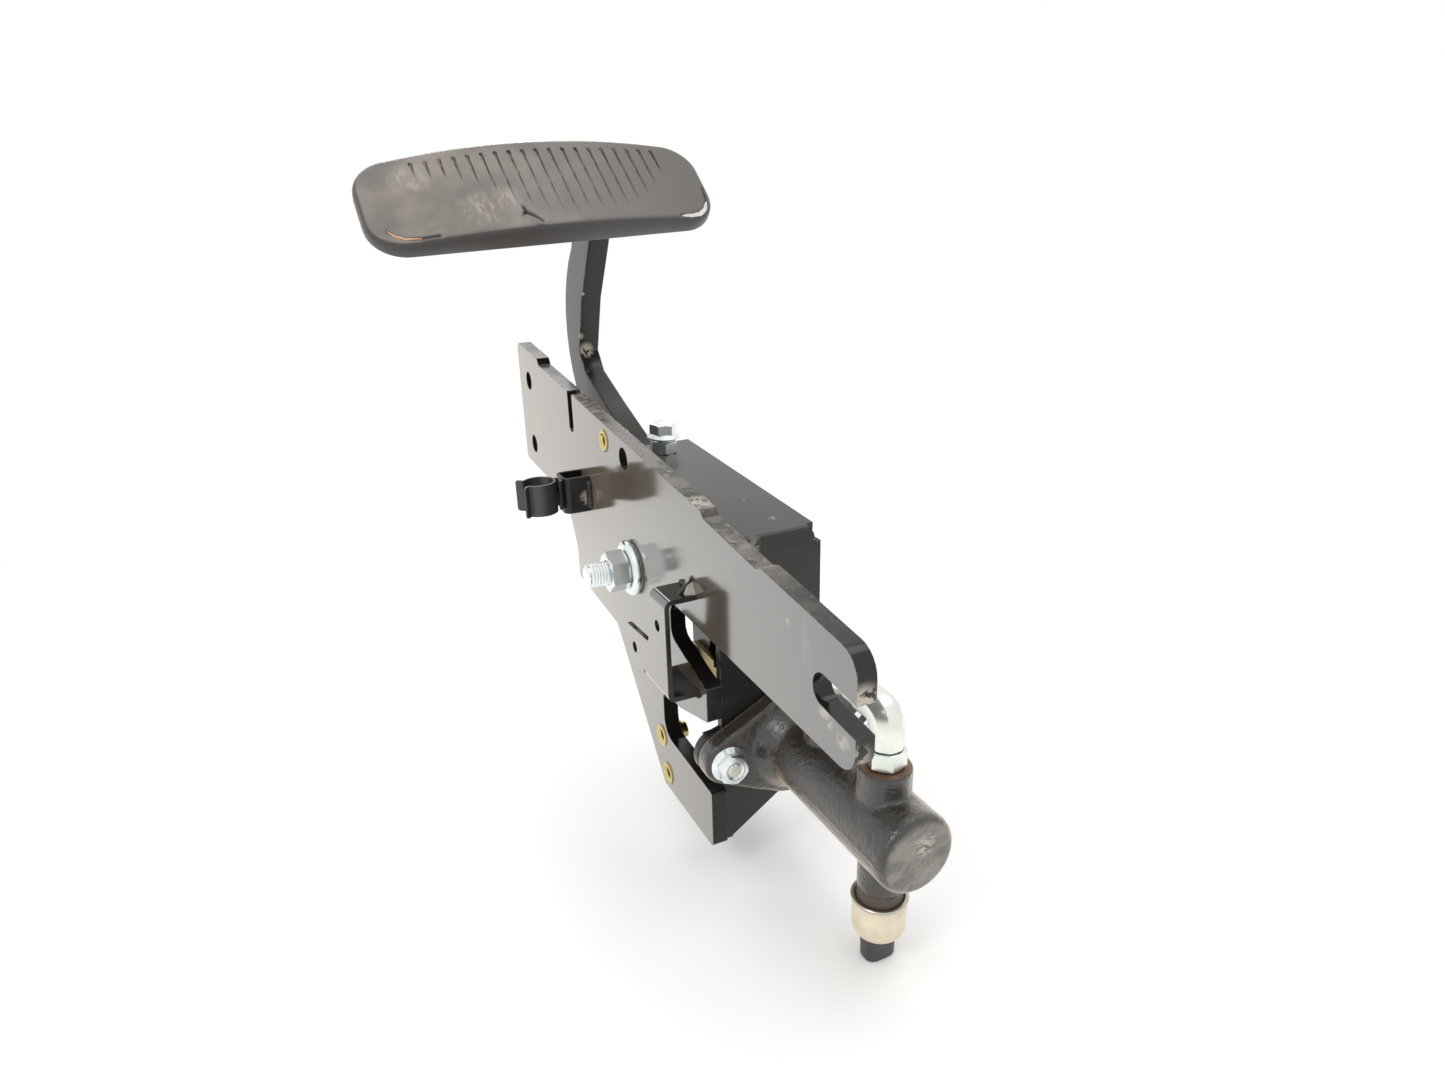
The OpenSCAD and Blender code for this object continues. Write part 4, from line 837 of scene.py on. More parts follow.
class FOOTVALVE_OT_hose_clip(bpy.types.Operator):
    """Spring clip on its strap"""
    bl_idname = "foot_valve.hose_clip"
    bl_label = "Hose clip"

    def execute(self, context):
        colours = context.scene.valve_colours
        steel = plain_surface("oiled spring steel", colours.clip, 0.34, 1.7, grain_mm=1.2, wear=0.4)
        paint = black_enamel("gloss black enamel on strap", colours, gloss=0.12, dust=0.2, wear=0.3,
                             chips=[((-77, -3, 27), 7, 0.6)])
        (x0, y0, z0), (x1, _, z1) = measured("clip_strap")
        thick, r = 2.5, 4.0
        inner = thick / 2
        path = ([(x0 + inner, 0.0)] + arc(x0 + inner + r, y0 + inner + r, r, 180, 270, 7)
                + arc(x1 - inner - r, y0 + inner + r, r, 270, 360, 7) + [(x1 - inner, 0.0)])
        strap = make_piece("clip_strap_bent", strip(path, thick, z0, z1), paint)
        belongs(bevelled(strap, 0.35 * MM), "frame", "clip_strap")

        low, high = span("hose_clip", 2)
        ring_r, wall, mouth, curl_r, lip = 10.5, 1.6, 46, 1.6, 4.6
        cx, cy, mid = middle("hose_clip", 0), y0 - 4.0 - wall - ring_r, ring_r + wall / 2
        lips = []
        for side in (-1, 1):
            a = math.radians(-90 + side * mouth)
            out = Vector((math.cos(a), math.sin(a)))
            ahead = Vector((out.y, -out.x)) * side
            end = Vector((cx, cy)) + out * mid
            curl = [end + out * (curl_r * (1 - math.cos(f))) + ahead * (curl_r * math.sin(f))
                    for f in np.linspace(0.25, math.pi / 2, 6)]
            flat = [curl[-1] + out * k for k in (lip - 2, lip - 1, lip - 0.4, lip)]
            lips.append([tuple(p) for p in curl + flat])
        ring = arc(cx, cy, mid, -90 - mouth, mouth - 450, 40)
        band = strip(lips[0][::-1] + ring + lips[1], wall, low, high, 2.0)
        hooked = ((-5.5, 3.4), (-4.6, 1.7), (-4.2, 0.8), (4.2, 0.8), (4.6, 1.7), (5.5, 3.4))
        back = [(cx + x, y0 - y) for x, y in hooked]
        clip = make_piece("hose_clip_spring", join_shapes(band, strip(back, 1.5, low + 0.8, high - 0.8)),
                          steel)
        belongs(bevelled(clip, 0.3 * MM), "frame", "hose_clip")
        shank = rings([(0.0, 0.3), (0.0, 2.5), (7.5, 2.5), (7.5, 0.3)], 40)
        head = rings([(0.0, 0.3), (0.0, 3.6), (0.5, 3.9), (1.2, 3.6), (1.9, 2.4), (2.2, 0.3)], 40)
        height = (z0 + z1) / 2
        rivet = join_shapes(*(moved(shape, set_at(spot(cx, y0 + y, height), Y))
                              for shape, y in ((shank, -4.6), (head, 2.5))))
        stand("clip_rivet_set", rivet, steel, "clip_rivet", angle=40)
        return {"FINISHED"}


class FOOTVALVE_OT_pivot(bpy.types.Operator):
    """Pivot bolt, its nut and dished washer"""
    bl_idname = "foot_valve.pivot"
    bl_label = "Pivot"

    def execute(self, context):
        zinc = plated_steel("bright zinc plate", context.scene.valve_colours.zinc)
        outwards = (0, -1, 0)
        thick, r = -span("pivot_washer", 1)[0], span("pivot_washer", 2)[1]
        washer = rings([(0.0, 8.4), (0.0, r - 2.6), (0.7, r - 2.4), (0.9, r - 0.9), (1.5, r - 0.2), (2.6, r),
                        (3.7, r - 0.3), (thick - 0.5, r - 1.6), (thick, r - 3.4), (thick, r - 4.6),
                        (thick - 0.4, r - 5.6), (thick - 0.4, 9.4), (thick - 1.0, 8.4)], 120, closed=True)
        stand("dished_washer", moved(washer, set_at(spot(0, 0, 0), outwards)), zinc, "pivot_washer")
        outer, inner = span("pivot_nut", 1)
        nut = moved(nut_shape(24.0, inner - outer, 8.05),
                    set_at(spot(0, inner, 0), outwards, (0.985, 0, 0.174)))
        stand("pivot_hex_nut", nut, zinc, "pivot_nut")
        out, end = span("pivot_bolt", 1)
        core, under_head = 7.0, end - out - 9.9
        shank = rings([(0.0, 0.4), (0.0, core - 1.2), (1.3, core), (26.0, core), (26.4, 8.0),
                       (under_head - 0.1, 8.0), (under_head, 8.0), (under_head, 0.4)])
        head = moved(bolt_head_shape(24.0, 9.9), set_at(spot(0, end - 9.92, 0), Y))
        stand("pivot_bolt_body", join_shapes(moved(shank, set_at(spot(0, out, 0), Y)), head), zinc,
              "pivot_bolt")
        belongs(thread("pivot_bolt_thread", spot(0, out + 1.6, 0), Y, 7.05, 2.0, 24.0, zinc, 0.94), "frame",
                slot="bright_zinc")
        return {"FINISHED"}


class FOOTVALVE_OT_stop_bolt(bpy.types.Operator):
    """Stop bolt and its flanged lock nut on the top sheet"""
    bl_idname = "foot_valve.stop_bolt"
    bl_label = "Stop bolt"

    def execute(self, context):
        zinc = plated_steel("bright zinc on stop bolt", context.scene.valve_colours.zinc, 0.26)
        fall = math.radians(3.4)
        up = Vector((math.sin(fall), 0, math.cos(fall)))
        low, high = (Vector(v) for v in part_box("stop_nut"))
        nut_h, head_h, core = 8.5, 10.5, 4.25
        base = (low + high) / 2 - up * (nut_h / 2 * MM)
        stand("stop_lock_nut", moved(nut_shape(17.6, nut_h, 4.5), set_at(base, up, (1, 0.3, 0))), zinc,
              "stop_nut")
        bottom, top = (corner[2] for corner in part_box("stop_bolt"))
        shoulder = (top - bottom) / MM / up.z - head_h - 0.6
        tip = base - up * ((base.z - bottom) / up.z)
        shank = rings([(0.2, 0.3), (0.2, core - 0.8), (1.0, core), (shoulder, core), (shoulder, 0.3)], 64)
        head = moved(bolt_head_shape(16.5, head_h, 11.3),
                     set_at(tip + up * (shoulder * MM), up, (1, -0.2, 0)))
        stand("stop_bolt_body", join_shapes(moved(shank, set_at(tip, up)), head), zinc, "stop_bolt")
        belongs(thread("stop_bolt_thread", tip + up * (1.2 * MM), up, 4.3, 1.5, shoulder - 2.4, zinc, 0.68),
                "frame", slot="bright_zinc")
        return {"FINISHED"}


class FOOTVALVE_OT_inserts(bpy.types.Operator):
    """Yellow zinc threaded inserts in the plate"""
    bl_idname = "foot_valve.inserts"
    bl_label = "Threaded inserts"

    def execute(self, context):
        yellow = plated_steel("yellow zinc plate", context.scene.valve_colours.yellow, 0.22, 6, 0.5)
        # The thread inside the bores takes a darker yellow zinc: painted shade for the depth of the bore.
        inside = plated_steel("oily yellow zinc in threads", "#6E5524", 0.3, 6, 0.5)
        levels = [(0.5, 3.6), (-0.85, 4.9), (-1.0, 5.3), (-1.0, 7.0), (-0.7, 7.45), (-0.2, 7.5), (0.0, 7.45),
                  (0.02, 5.5), (10.0, 5.5), (10.4, 6.6), (12.0, 6.9), (13.6, 6.6), (14.2, 5.5), (16.6, 5.5),
                  (17.0, 5.1), (17.0, 3.9), (16.6, 3.6)]
        places = [spot(*p) for p in ((-41, 0, 76.5), (37.5, 0, -107), (45.5, 0, -132))]
        shell = moved(rings(levels, 72, closed=True), set_at(Vector(), Y))
        shell = make_piece("threaded_inserts_template", shell, yellow)
        belongs(repeated("threaded_inserts", shell, places, yellow), "frame", "rivet_nuts")
        inner = thread("insert_thread_template", Vector((0, 0.8 * MM, 0)), Y, 3.75, 1.25, 15.4, inside, 0.5)
        belongs(repeated("insert_threads", inner, places, inside, 60), "frame", slot="yellow_zinc")
        return {"FINISHED"}


class FOOTVALVE_OT_pedal_arm(bpy.types.Operator):
    """Pedal arm, hub, bushes, lever and pad plate"""
    bl_idname = "foot_valve.pedal_arm"
    bl_label = "Pedal arm"

    def execute(self, context):
        paint = black_enamel("black enamel on arm", context.scene.valve_colours, 1.5, gloss=0.2, wear=0.9,
                             chips=[((-189, 41, 112), 8, 0.8), ((-187, 36, 124), 4, 0.6),
                                    ((-172, 36, 157), 2.2, 0.7)])
        for node, name, width in (("pedal_arm", "pedal_arm_bar", 0.9), ("push_lever", "push_lever_bar", 0.5),
                                  ("pad_plate", "pad_backing_plate", 0.5)):
            softened(node, name, width * MM, paint, "pedal")
        dress(paint, "pedal_hub")
        dress(plain_surface("sintered bronze", "#A98255", 0.4, metallic=1.0, grain_mm=0.6), "pivot_bushes")
        return {"FINISHED"}


# The pad's outline in millimetres: half its length and width, its corners' radius and its far side's bulge.
HALF_L, HALF_W, CORNER, BULGE = 125.0, 39.0, 26.0, 6.0
STRAIGHT = HALF_L - CORNER
PAD_AT = (Matrix.Translation(spot(-153.5, 4, 224)) @ Matrix.Rotation(math.radians(2.4), 4, "X")
          @ Matrix.Rotation(math.radians(43), 4, "Y") @ Matrix.Scale(MM, 4))


def pad_sides(y):
    """The pad's lower and upper x at a distance y along it."""
    y = abs(y)
    if y <= STRAIGHT:
        bow = (STRAIGHT ** 2 + BULGE ** 2) / (2 * BULGE)
        return -HALF_W - BULGE + bow - math.sqrt(max(bow * bow - y * y, 0)), HALF_W
    dip = math.sqrt(max(CORNER ** 2 - (y - STRAIGHT) ** 2, 0.0))
    return -HALF_W + CORNER - dip, HALF_W - CORNER + dip


def along_path(x, y, path, width):
    """1 on a broken line over the pad, fading within width of it."""
    nearest = np.full(x.shape, 1e9)
    for (ax, ay), (bx, by) in zip(path, path[1:]):
        run = (bx - ax) ** 2 + (by - ay) ** 2
        t = np.clip(((x - ax) * (bx - ax) + (y - ay) * (by - ay)) / run, 0, 1)
        nearest = np.minimum(nearest, np.hypot(x - ax - t * (bx - ax), y - ay - t * (by - ay)))
    return np.exp(-(nearest / width) ** 2)


def pad_sliver(path, width, height):
    """A lens-shaped strip along a broken line, lying on the pad."""
    last = 24
    stations = np.linspace(0, len(path) - 1, last + 1)
    xs, ys = (np.interp(stations, range(len(path)), [p[k] for p in path]) for k in (0, 1))
    loops = []
    for k in range(last + 1):
        a, b = max(k - 1, 0), min(k + 1, last)
        ahead = Vector((xs[b] - xs[a], ys[b] - ys[a], 0)).normalized()
        side = Vector((-ahead.y, ahead.x, 0)) * (0.1 + width * math.sin(math.pi * k / last) ** 0.8)
        z = height(xs[k], ys[k])
        loops.append([Vector((xs[k], ys[k], z + rise)) + side * by
                      for by, rise in ((-1, -1.2), (1, -1.2), (1, -0.2), (0, 0.0), (-1, -0.2))])
    return lofted(loops)


def inset(p, by):
    """A point of the pad's outline moved in from it."""
    way = [math.copysign(1, part) for part in p.xy]
    flat = Vector((max(abs(p.x) - (HALF_W - CORNER), 0.0) * way[0], max(abs(p.y) - STRAIGHT, 0.0) * way[1],
                   0))
    return p - (Vector((way[0], 0, 0)) if abs(p.y) <= STRAIGHT else flat.normalized()) * by


def pad_face(pad):
    """The pad's upper face: x, y and height over an even grid."""
    end_h, crown, fall_off, columns = 10.0, 9.0, 0.0009, 70
    ys = np.linspace(-HALF_L, HALF_L, 441)
    even = np.linspace(0, 1, columns + 1)
    u = (1 - np.cos(even * np.pi)) / 2 * 0.35 + even * 0.65
    low, high = np.array([pad_sides(y) for y in ys]).T[:, :, None]
    x = low + (high - low) * u[None, :]
    y = np.repeat(ys[:, None], columns + 1, axis=1)
    edge = np.minimum(np.minimum(x - low, high - x), HALF_L - np.abs(y))
    # In the corners the nearest edge is the corner's arc.
    for sign in (-1, 1):
        in_corner = (np.abs(y) > STRAIGHT) & (x * sign > HALF_W - CORNER)
        away = CORNER - np.hypot(x - sign * (HALF_W - CORNER), np.abs(y) - STRAIGHT)
        edge = np.where(in_corner, np.minimum(edge, away), edge)
    radius = (HALF_L ** 2 + crown ** 2) / (2 * crown)
    top = end_h + crown - (radius - np.sqrt(radius ** 2 - y ** 2))
    round_r = pad.edge_round / MM
    inside = np.clip(edge, 0, round_r)
    top = top - (round_r - np.sqrt(np.clip(round_r ** 2 - (round_r - inside) ** 2, 0, None)))
    top = top - fall_off * (x - 4) ** 2
    # Grooves, narrower down the slope, and gone where boots have worn the rubber away.
    width, depth = pad.groove_width / MM, pad.groove_depth / MM
    cut = np.zeros_like(x)
    for centre in np.linspace(-84.0, 92.0, pad.grooves):
        first = -34.5 + 0.0004 * centre ** 2
        last = np.interp(centre, (-84, -55, -40, -25, -8, 20, 43, 60, 74, 94),
                         (-9, 0, 8, 22, 31, 34, 31, 28, 21, -2))
        down = np.clip((x - first) / 62, 0, 1)
        half = width * (0.34 + 0.66 * np.exp(-down * 14)) / 2
        wall = np.clip((half - np.abs(y - centre - 0.03 * (x + 30))) / 0.5 + 0.5, 0, 1)
        along = np.clip((x - first) / 0.9, 0, 1) * np.clip((last - x) / 16, 0, 1)
        cut = np.maximum(cut, wall * along * (0.5 + 0.5 * np.exp(-down * 9)) * (1 - 0.4 * down))
    top = top - depth * cut
    # The worn end has sunk and wrinkled, a ridge runs off it, and a flap has torn beside it.
    ripple = np.sin(x * 1.9 + np.sin(y * 0.7) * 1.3) * np.sin(y * 1.3 + x * 0.5)
    patch = np.exp(-(((x - 18) / 15) ** 2 + ((y + 43) / 13) ** 2) ** 1.5)
    top = top - 0.6 * np.exp(-(((x - 12) / 24) ** 2 + ((y + 60) / 30) ** 2)) + 0.45 * ripple * patch
    for rise, reach, path in ((0.5, 1.6, [(18, -56), (24, -70), (28, -87)]),
                              (0.8, 3.0, [(23, -17.5), (29, -15), (36, -13)]),
                              (-1.8, 0.8, [(19.5, -21), (25, -20.5), (30, -15), (34.5, -11)]),
                              (-1.4, 0.8, [(25, -20.5), (27.5, -23.5)])):
        top = top + rise * along_path(x, y, path, reach)
    return x, y, top


class FOOTVALVE_OT_pad(bpy.types.Operator):
    """Crowned rubber pad with worn grooves"""
    bl_idname = "foot_valve.pad"
    bl_label = "Rubber pad"

    def execute(self, context):
        x, y, level = pad_face(context.scene.pad_sizes)
        # Splits in the lower corners, where the steel underneath shows.
        left = [(24.5, -112), (30, -108), (33.6, -102), (35.2, -92), (35, -80)]
        right = [(35.2, 93), (35, 101), (33, 109), (28.5, 115), (21, 119), (8, 121)]
        top = level
        for path in (left, right):
            top = top - 1.6 * along_path(x, y, path, 0.9)
        rim = 1.2
        rows, cols = x.shape
        points = [Vector(p) for p in zip(x.flat, y.flat, np.maximum(top, rim + 1.5).flat)]
        faces = [(a, a + 1, a + cols + 1, a + cols)
                 for i in range(rows - 1) for a in range(i * cols, i * cols + cols - 1)]
        previous = ([i * cols for i in range(rows)] + [(rows - 1) * cols + j for j in range(1, cols)]
                    + [i * cols + cols - 1 for i in range(rows - 2, -1, -1)] + list(range(cols - 2, 0, -1)))
        outline = [points[k] for k in previous]
        for z, by in ((rim, 0.0), (0.35, 0.35), (0.0, 1.2), (0.0, 3.9), (4.9, 3.9)):
            ring = range(len(points), len(points) + len(outline))
            points += [Vector((*inset(p, by).xy, z)) for p in outline]
            faces += [(previous[a - 1], previous[a], ring[a], ring[a - 1]) for a in range(len(ring))]
            previous = ring
        faces.append(tuple(previous))
        wrinkles = [(PAD_AT @ Vector(p), reach) for p, reach in (((18, -48, 18), 20), ((12, -32, 18), 16),
                                                                ((-16, -88, 14), 18))]
        rubber = worn_rubber("worn pad rubber", context.scene.valve_colours, PAD_AT.to_3x3() @ Vector(Z) / MM,
                             wrinkles, (PAD_AT @ Vector((24, -20, 18)), 8))
        stand("treadle_pad", moved((points, faces), PAD_AT), rubber, "pad_rubber", angle=50, body="pedal")
        for end, path, width, colour in (("left", left[:4], 0.9, "#C9A184"),
                                         ("right", right[:5], 1.9, "#C9C6BF")):
            steel = plain_surface("bare worn steel " + end, colour, 0.4, grain_mm=1.5)
            sliver = pad_sliver(path, width, lambda a, b: level.flat[np.argmin((x - a) ** 2 + (y - b) ** 2)])
            stand("split_edge_" + end, moved(sliver, PAD_AT), steel, angle=40, body="pedal",
                  slot="pad_rubber")
        return {"FINISHED"}


class FOOTVALVE_OT_linkage(bpy.types.Operator):
    """Push rod, clevis, pins, boot and the valve's inner parts"""
    bl_idname = "foot_valve.linkage"
    bl_label = "Linkage"

    def execute(self, context):
        zinc = plated_steel("bright zinc on rod", context.scene.valve_colours.zinc)
        yellow = plated_steel("yellow zinc on clevis", "#877B4C", 0.25, 8, 0.4)
        steel = plain_surface("turned steel", "#9A9C9E", 0.25, metallic=1.0, grain_mm=0.7, depth_mm=0.01)
        rubber = plain_surface("moulded seal rubber", "#262524", 0.62, grain_mm=1.4, depth_mm=0.04)
        softened("clevis", "fork_clevis", 0.5 * MM, yellow, "pushrod", 35)
        dress(zinc, "push_rod", "clevis_pin", "cotter_pin")
        dress(yellow, "rod_nut")
        dress(steel, "piston", "stop_washer", "snap_ring")
        dress(rubber, "piston_seals", "flange_gasket", "elbow_seal")
        spring = own_copy("piston_spring", "return_spring", steel)
        belongs(spring, "frame", "piston_spring")
        shortens(spring)

        low, high = measured("rod_boot")
        length, outer_r = high[0] - low[0], (high[1] - low[1]) / 2
        ribs, neck, wall = 5, 4.0, 1.4
        pitch = (length - 2 * neck) / ribs
        outside, inside = [(0.0, 7.4), (neck * 0.7, 7.5)], [(0.0, 6.0), (neck * 0.7, 6.1)]
        for i in range(ribs * 12 + 1):
            t = i / 12
            swell = 0.5 - 0.5 * math.cos(2 * math.pi * t)
            root = 7.6 + (outer_r - 4.6 - 7.6) * min(1.0, t * 1.2)
            r = root + (outer_r - 0.2 - root) * swell ** 1.2
            outside.append((neck + pitch * t, r))
            inside.append((neck + pitch * t, r - wall))
        outside += [(length - 1.5, outer_r - 0.6), (length - 0.4, outer_r), (length, outer_r)]
        inside += [(length - 1.5, outer_r - 2.0), (length, outer_r - 2.2)]
        bellows = moved(rings(outside + inside[::-1], 72, closed=True),
                        set_at(spot(low[0], middle("rod_boot", 1), middle("rod_boot", 2)), X))
        shortens(stand("rod_bellows", bellows, rubber, "rod_boot", angle=60))
        return {"FINISHED"}


class FOOTVALVE_OT_casting(bpy.types.Operator):
    """Cast valve body with blended bosses and machined faces"""
    bl_idname = "foot_valve.casting"
    bl_label = "Valve casting"

    def execute(self, context):
        sizes, colours = context.scene.valve_sizes, context.scene.valve_colours
        (start, _, bottom), (end, _, top) = VALVE
        paint = painted_casting("painted sand casting", colours, sizes.cast_grain / MM, end)
        piece = own_copy("valve_body", "valve_casting", paint)
        with joined(piece.data, 2e-6):
            pass
        modified(piece, ("Even mesh", "REMESH", {"mode": "VOXEL", "voxel_size": sizes.voxel}))
        mesh = piece.data
        count = len(mesh.vertices)
        co, edges = np.empty((count, 3)), np.empty((len(mesh.edges), 2), dtype=np.int64)
        mesh.vertices.foreach_get("co", co.ravel())
        mesh.edges.foreach_get("vertices", edges.ravel())

        def from_bore():
            """Each point's x, y and z in millimetres from the pivot's x and the bore's axis, and how far it
            is from that axis."""
            local = (co - np.array(spot(0, VALVE_Y, VALVE_Z))) / MM
            return *local.T, np.hypot(local[:, 1], local[:, 2])

        # Machined faces, bores and ports keep their shape, and the rest is blended.
        bore_r, ears_x, flat, root_passes = 13.4, 122, 0.9, 16
        x, y, z, axis_r = from_bore()
        free = np.ones(count)
        free[(x < start + flat) | (axis_r < bore_r)] = 0.0
        free[(np.hypot(x - OUTLET_X, y) < 9.0) & (np.abs(z) > 20)] = 0.0
        free[(np.hypot(x - INLET_X, y) < 8.0) & (z > 20)] = 0.0
        free[(z > top - VALVE_Z - flat) | (z < bottom - VALVE_Z + flat)] = 0.0
        free[(x > end - 7.0) & (axis_r > bore_r)] *= 0.3
        root = np.exp(-((x - ears_x) / 7.0) ** 2) * (axis_r > 14) * (axis_r < 36)
        degree = np.bincount(edges.ravel(), minlength=count)
        for step in range(sizes.blend_passes + root_passes):
            pull = free * (0.5 if step < sizes.blend_passes else 0.5 * root)
            total = np.stack([np.bincount(edges[:, 0], co[edges[:, 1], k], count)
                              + np.bincount(edges[:, 1], co[edges[:, 0], k], count) for k in range(3)],
                             axis=1)
            co += (total / degree[:, None] - co) * pull[:, None]
        # The rounding takes a little off all over, which this gives back.
        mesh.vertices.foreach_set("co", co.ravel())
        mesh.update()
        outward = np.empty((count, 3))
        mesh.vertices.foreach_get("normal", outward.ravel())
        co += outward * (0.3 * MM * (free > 0))[:, None]
        # Flash along the mould's parting plane.
        x, y, z, axis_r = from_bore()
        seam = np.exp(-(z / 0.75) ** 2) * (axis_r > 20) * (x > ears_x) * (x < 236)
        co[:, 1:] += np.stack((y, z), axis=1) * (0.4 * MM * seam / np.maximum(axis_r, 1e-6))[:, None]
        co = np.clip(co, *(np.array(v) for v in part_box("valve_body")))
        mesh.vertices.foreach_set("co", co.ravel())
        shade(mesh, 60)
        belongs(piece, "frame", "valve_body")
        ring = rings([(-0.6, 8.1), (-0.6, 13.3), (0.0, 13.4), (0.12, 13.0), (0.12, 8.6), (0.0, 8.1)],
                     closed=True)
        stand("machined_boss_face", moved(ring, set_at(spot(OUTLET_X, VALVE_Y, top))),
              machined_iron("bare turned iron"), slot="cast_black")
        return {"FINISHED"}


class FOOTVALVE_OT_flange_fasteners(bpy.types.Operator):
    """Flange bolts and nuts through both ears"""
    bl_idname = "foot_valve.flange_fasteners"
    bl_label = "Flange fasteners"

    def execute(self, context):
        zinc = plated_steel("bright zinc on flange bolts", context.scene.valve_colours.zinc)
        low, high = measured("flange_nuts")
        across, rim_r, head_h = 16.5, 11.3, 8.0
        offset = (high[1] - low[1]) / 2 - rim_r
        places = [spot(low[0], VALVE_Y + side * offset, VALVE_Z) for side in (-1, 1)]
        turn = set_at(Vector(), X, (0, 0.35, 1))
        height = high[0] - low[0]
        nut = moved(nut_shape(across, height, 4.4, rim_r, 1.2), turn)
        nut = make_piece("flange_nut_pair_template", nut, zinc)
        belongs(repeated("flange_nut_pair", nut, places, zinc), "frame", "flange_nuts")
        grip = low[0] - span("flange_bolts", 0)[0] - head_h
        shank = rings([(-grip, 0.3), (-grip, 4.3), (height - 0.7, 4.3), (height - 0.3, 3.9),
                       (height - 0.3, 0.3)], 64)
        head = moved(bolt_head_shape(across, head_h, rim_r), set_at(Vector((-grip * MM, 0, 0)), (-1, 0, 0)))
        bolt = make_piece("flange_bolt_pair_template", join_shapes(moved(shank, turn), head), zinc)
        belongs(repeated("flange_bolt_pair", bolt, places, zinc), "frame", "flange_bolts")
        return {"FINISHED"}


def octagon(half):
    """Eight flats with narrow rounded corners."""
    reach = half / math.cos(math.pi / 8)
    corners = [Vector((reach * math.cos(a), reach * math.sin(a)))
               for a in (math.pi * (2 * k + 1) / 8 for k in range(8))]
    return [p.lerp(q, 0.1) for k, p in enumerate(corners) for q in (corners[k - 1], corners[(k + 1) % 8])]


def swept(path, profile):
    """Skins a closed profile along a path lying across Y; both in millimetres."""
    loops, side = [], Vector(Y)
    for k, centre in enumerate(path):
        up = side.cross((path[min(k + 1, len(path) - 1)] - path[max(k - 1, 0)]).normalized())
        loops.append([centre + side * a + up * b for a, b in profile])
    return lofted(loops)


class FOOTVALVE_OT_fittings(bpy.types.Operator):
    """Elbow with its lock nut, and the plug in the second port"""
    bl_idname = "foot_valve.fittings"
    bl_label = "Fittings"

    def execute(self, context):
        zinc = plated_steel("zinc plate on forging", "#EDEFE4", 0.24, 9, 0.4)
        backwards = (-1, 0, 0)
        low, high = measured("elbow_fitting")
        nut_low, nut_high = span("elbow_nut", 2)
        nut = moved(nut_shape(19.0, nut_high - nut_low, 8.0),
                    set_at(spot(OUTLET_X, VALVE_Y, nut_low), Z, (1, 0.25, 0)))
        stand("elbow_hex_nut", nut, zinc, "elbow_nut")

        leg_z, end_x, bend, face = high[2] - 9.0, low[0], 8.5, VALVE[1][2]
        path = [(0, nut_high + 1.0), (0, leg_z - bend)]
        path += [(x - bend, z + leg_z - bend) for x, z in arc(0, 0, bend, 18, 90, 4)]
        path += [(-bend - 3, leg_z), (end_x - OUTLET_X + 12.0, leg_z)]
        forged = swept([Vector((x, 0, z)) for x, z in path], octagon(8.8))
        neck = [(face - 10, 3.6), (face - 10, 7.6), (nut_high + 1.4, 7.6), (nut_high + 1.4, 3.6)]
        neck = rings(neck, 64, closed=True)
        stub = rings([(0, 3.5), (0, 8.6), (0.8, 8.9), (1.6, 8.4), (1.8, 7.4), (11.0, 7.4), (12.0, 6.6),
                      (12.0, 6.4), (8.0, 3.5)], 64, closed=True)
        shapes = join_shapes(moved(join_shapes(forged, neck), set_at(spot(OUTLET_X, VALVE_Y, 0))),
                             moved(stub, set_at(spot(end_x + 12.0, VALVE_Y, leg_z), backwards)))
        belongs(bevelled(make_piece("forged_elbow", shapes, zinc), 0.5 * MM, 50), "frame", "elbow_fitting")
        belongs(thread("elbow_pipe_thread", spot(end_x + 10.6, VALVE_Y, leg_z), backwards, 7.45, 1.5, 9.6,
                       zinc, 0.6), "frame", slot="bright_zinc")
        softened("port_plug", "inlet_plug", 0.35 * MM, zinc, angle=28)
        return {"FINISHED"}


def oblong(rx, ry, count=72):
    """An outline between an ellipse and a rectangle."""
    power, out = 3.2, []
    for a in turns(count):
        c, s = math.cos(a), math.sin(a)
        k = (abs(c / rx) ** power + abs(s / ry) ** power) ** (-1 / power)
        out.append((c * k, s * k))
    return out


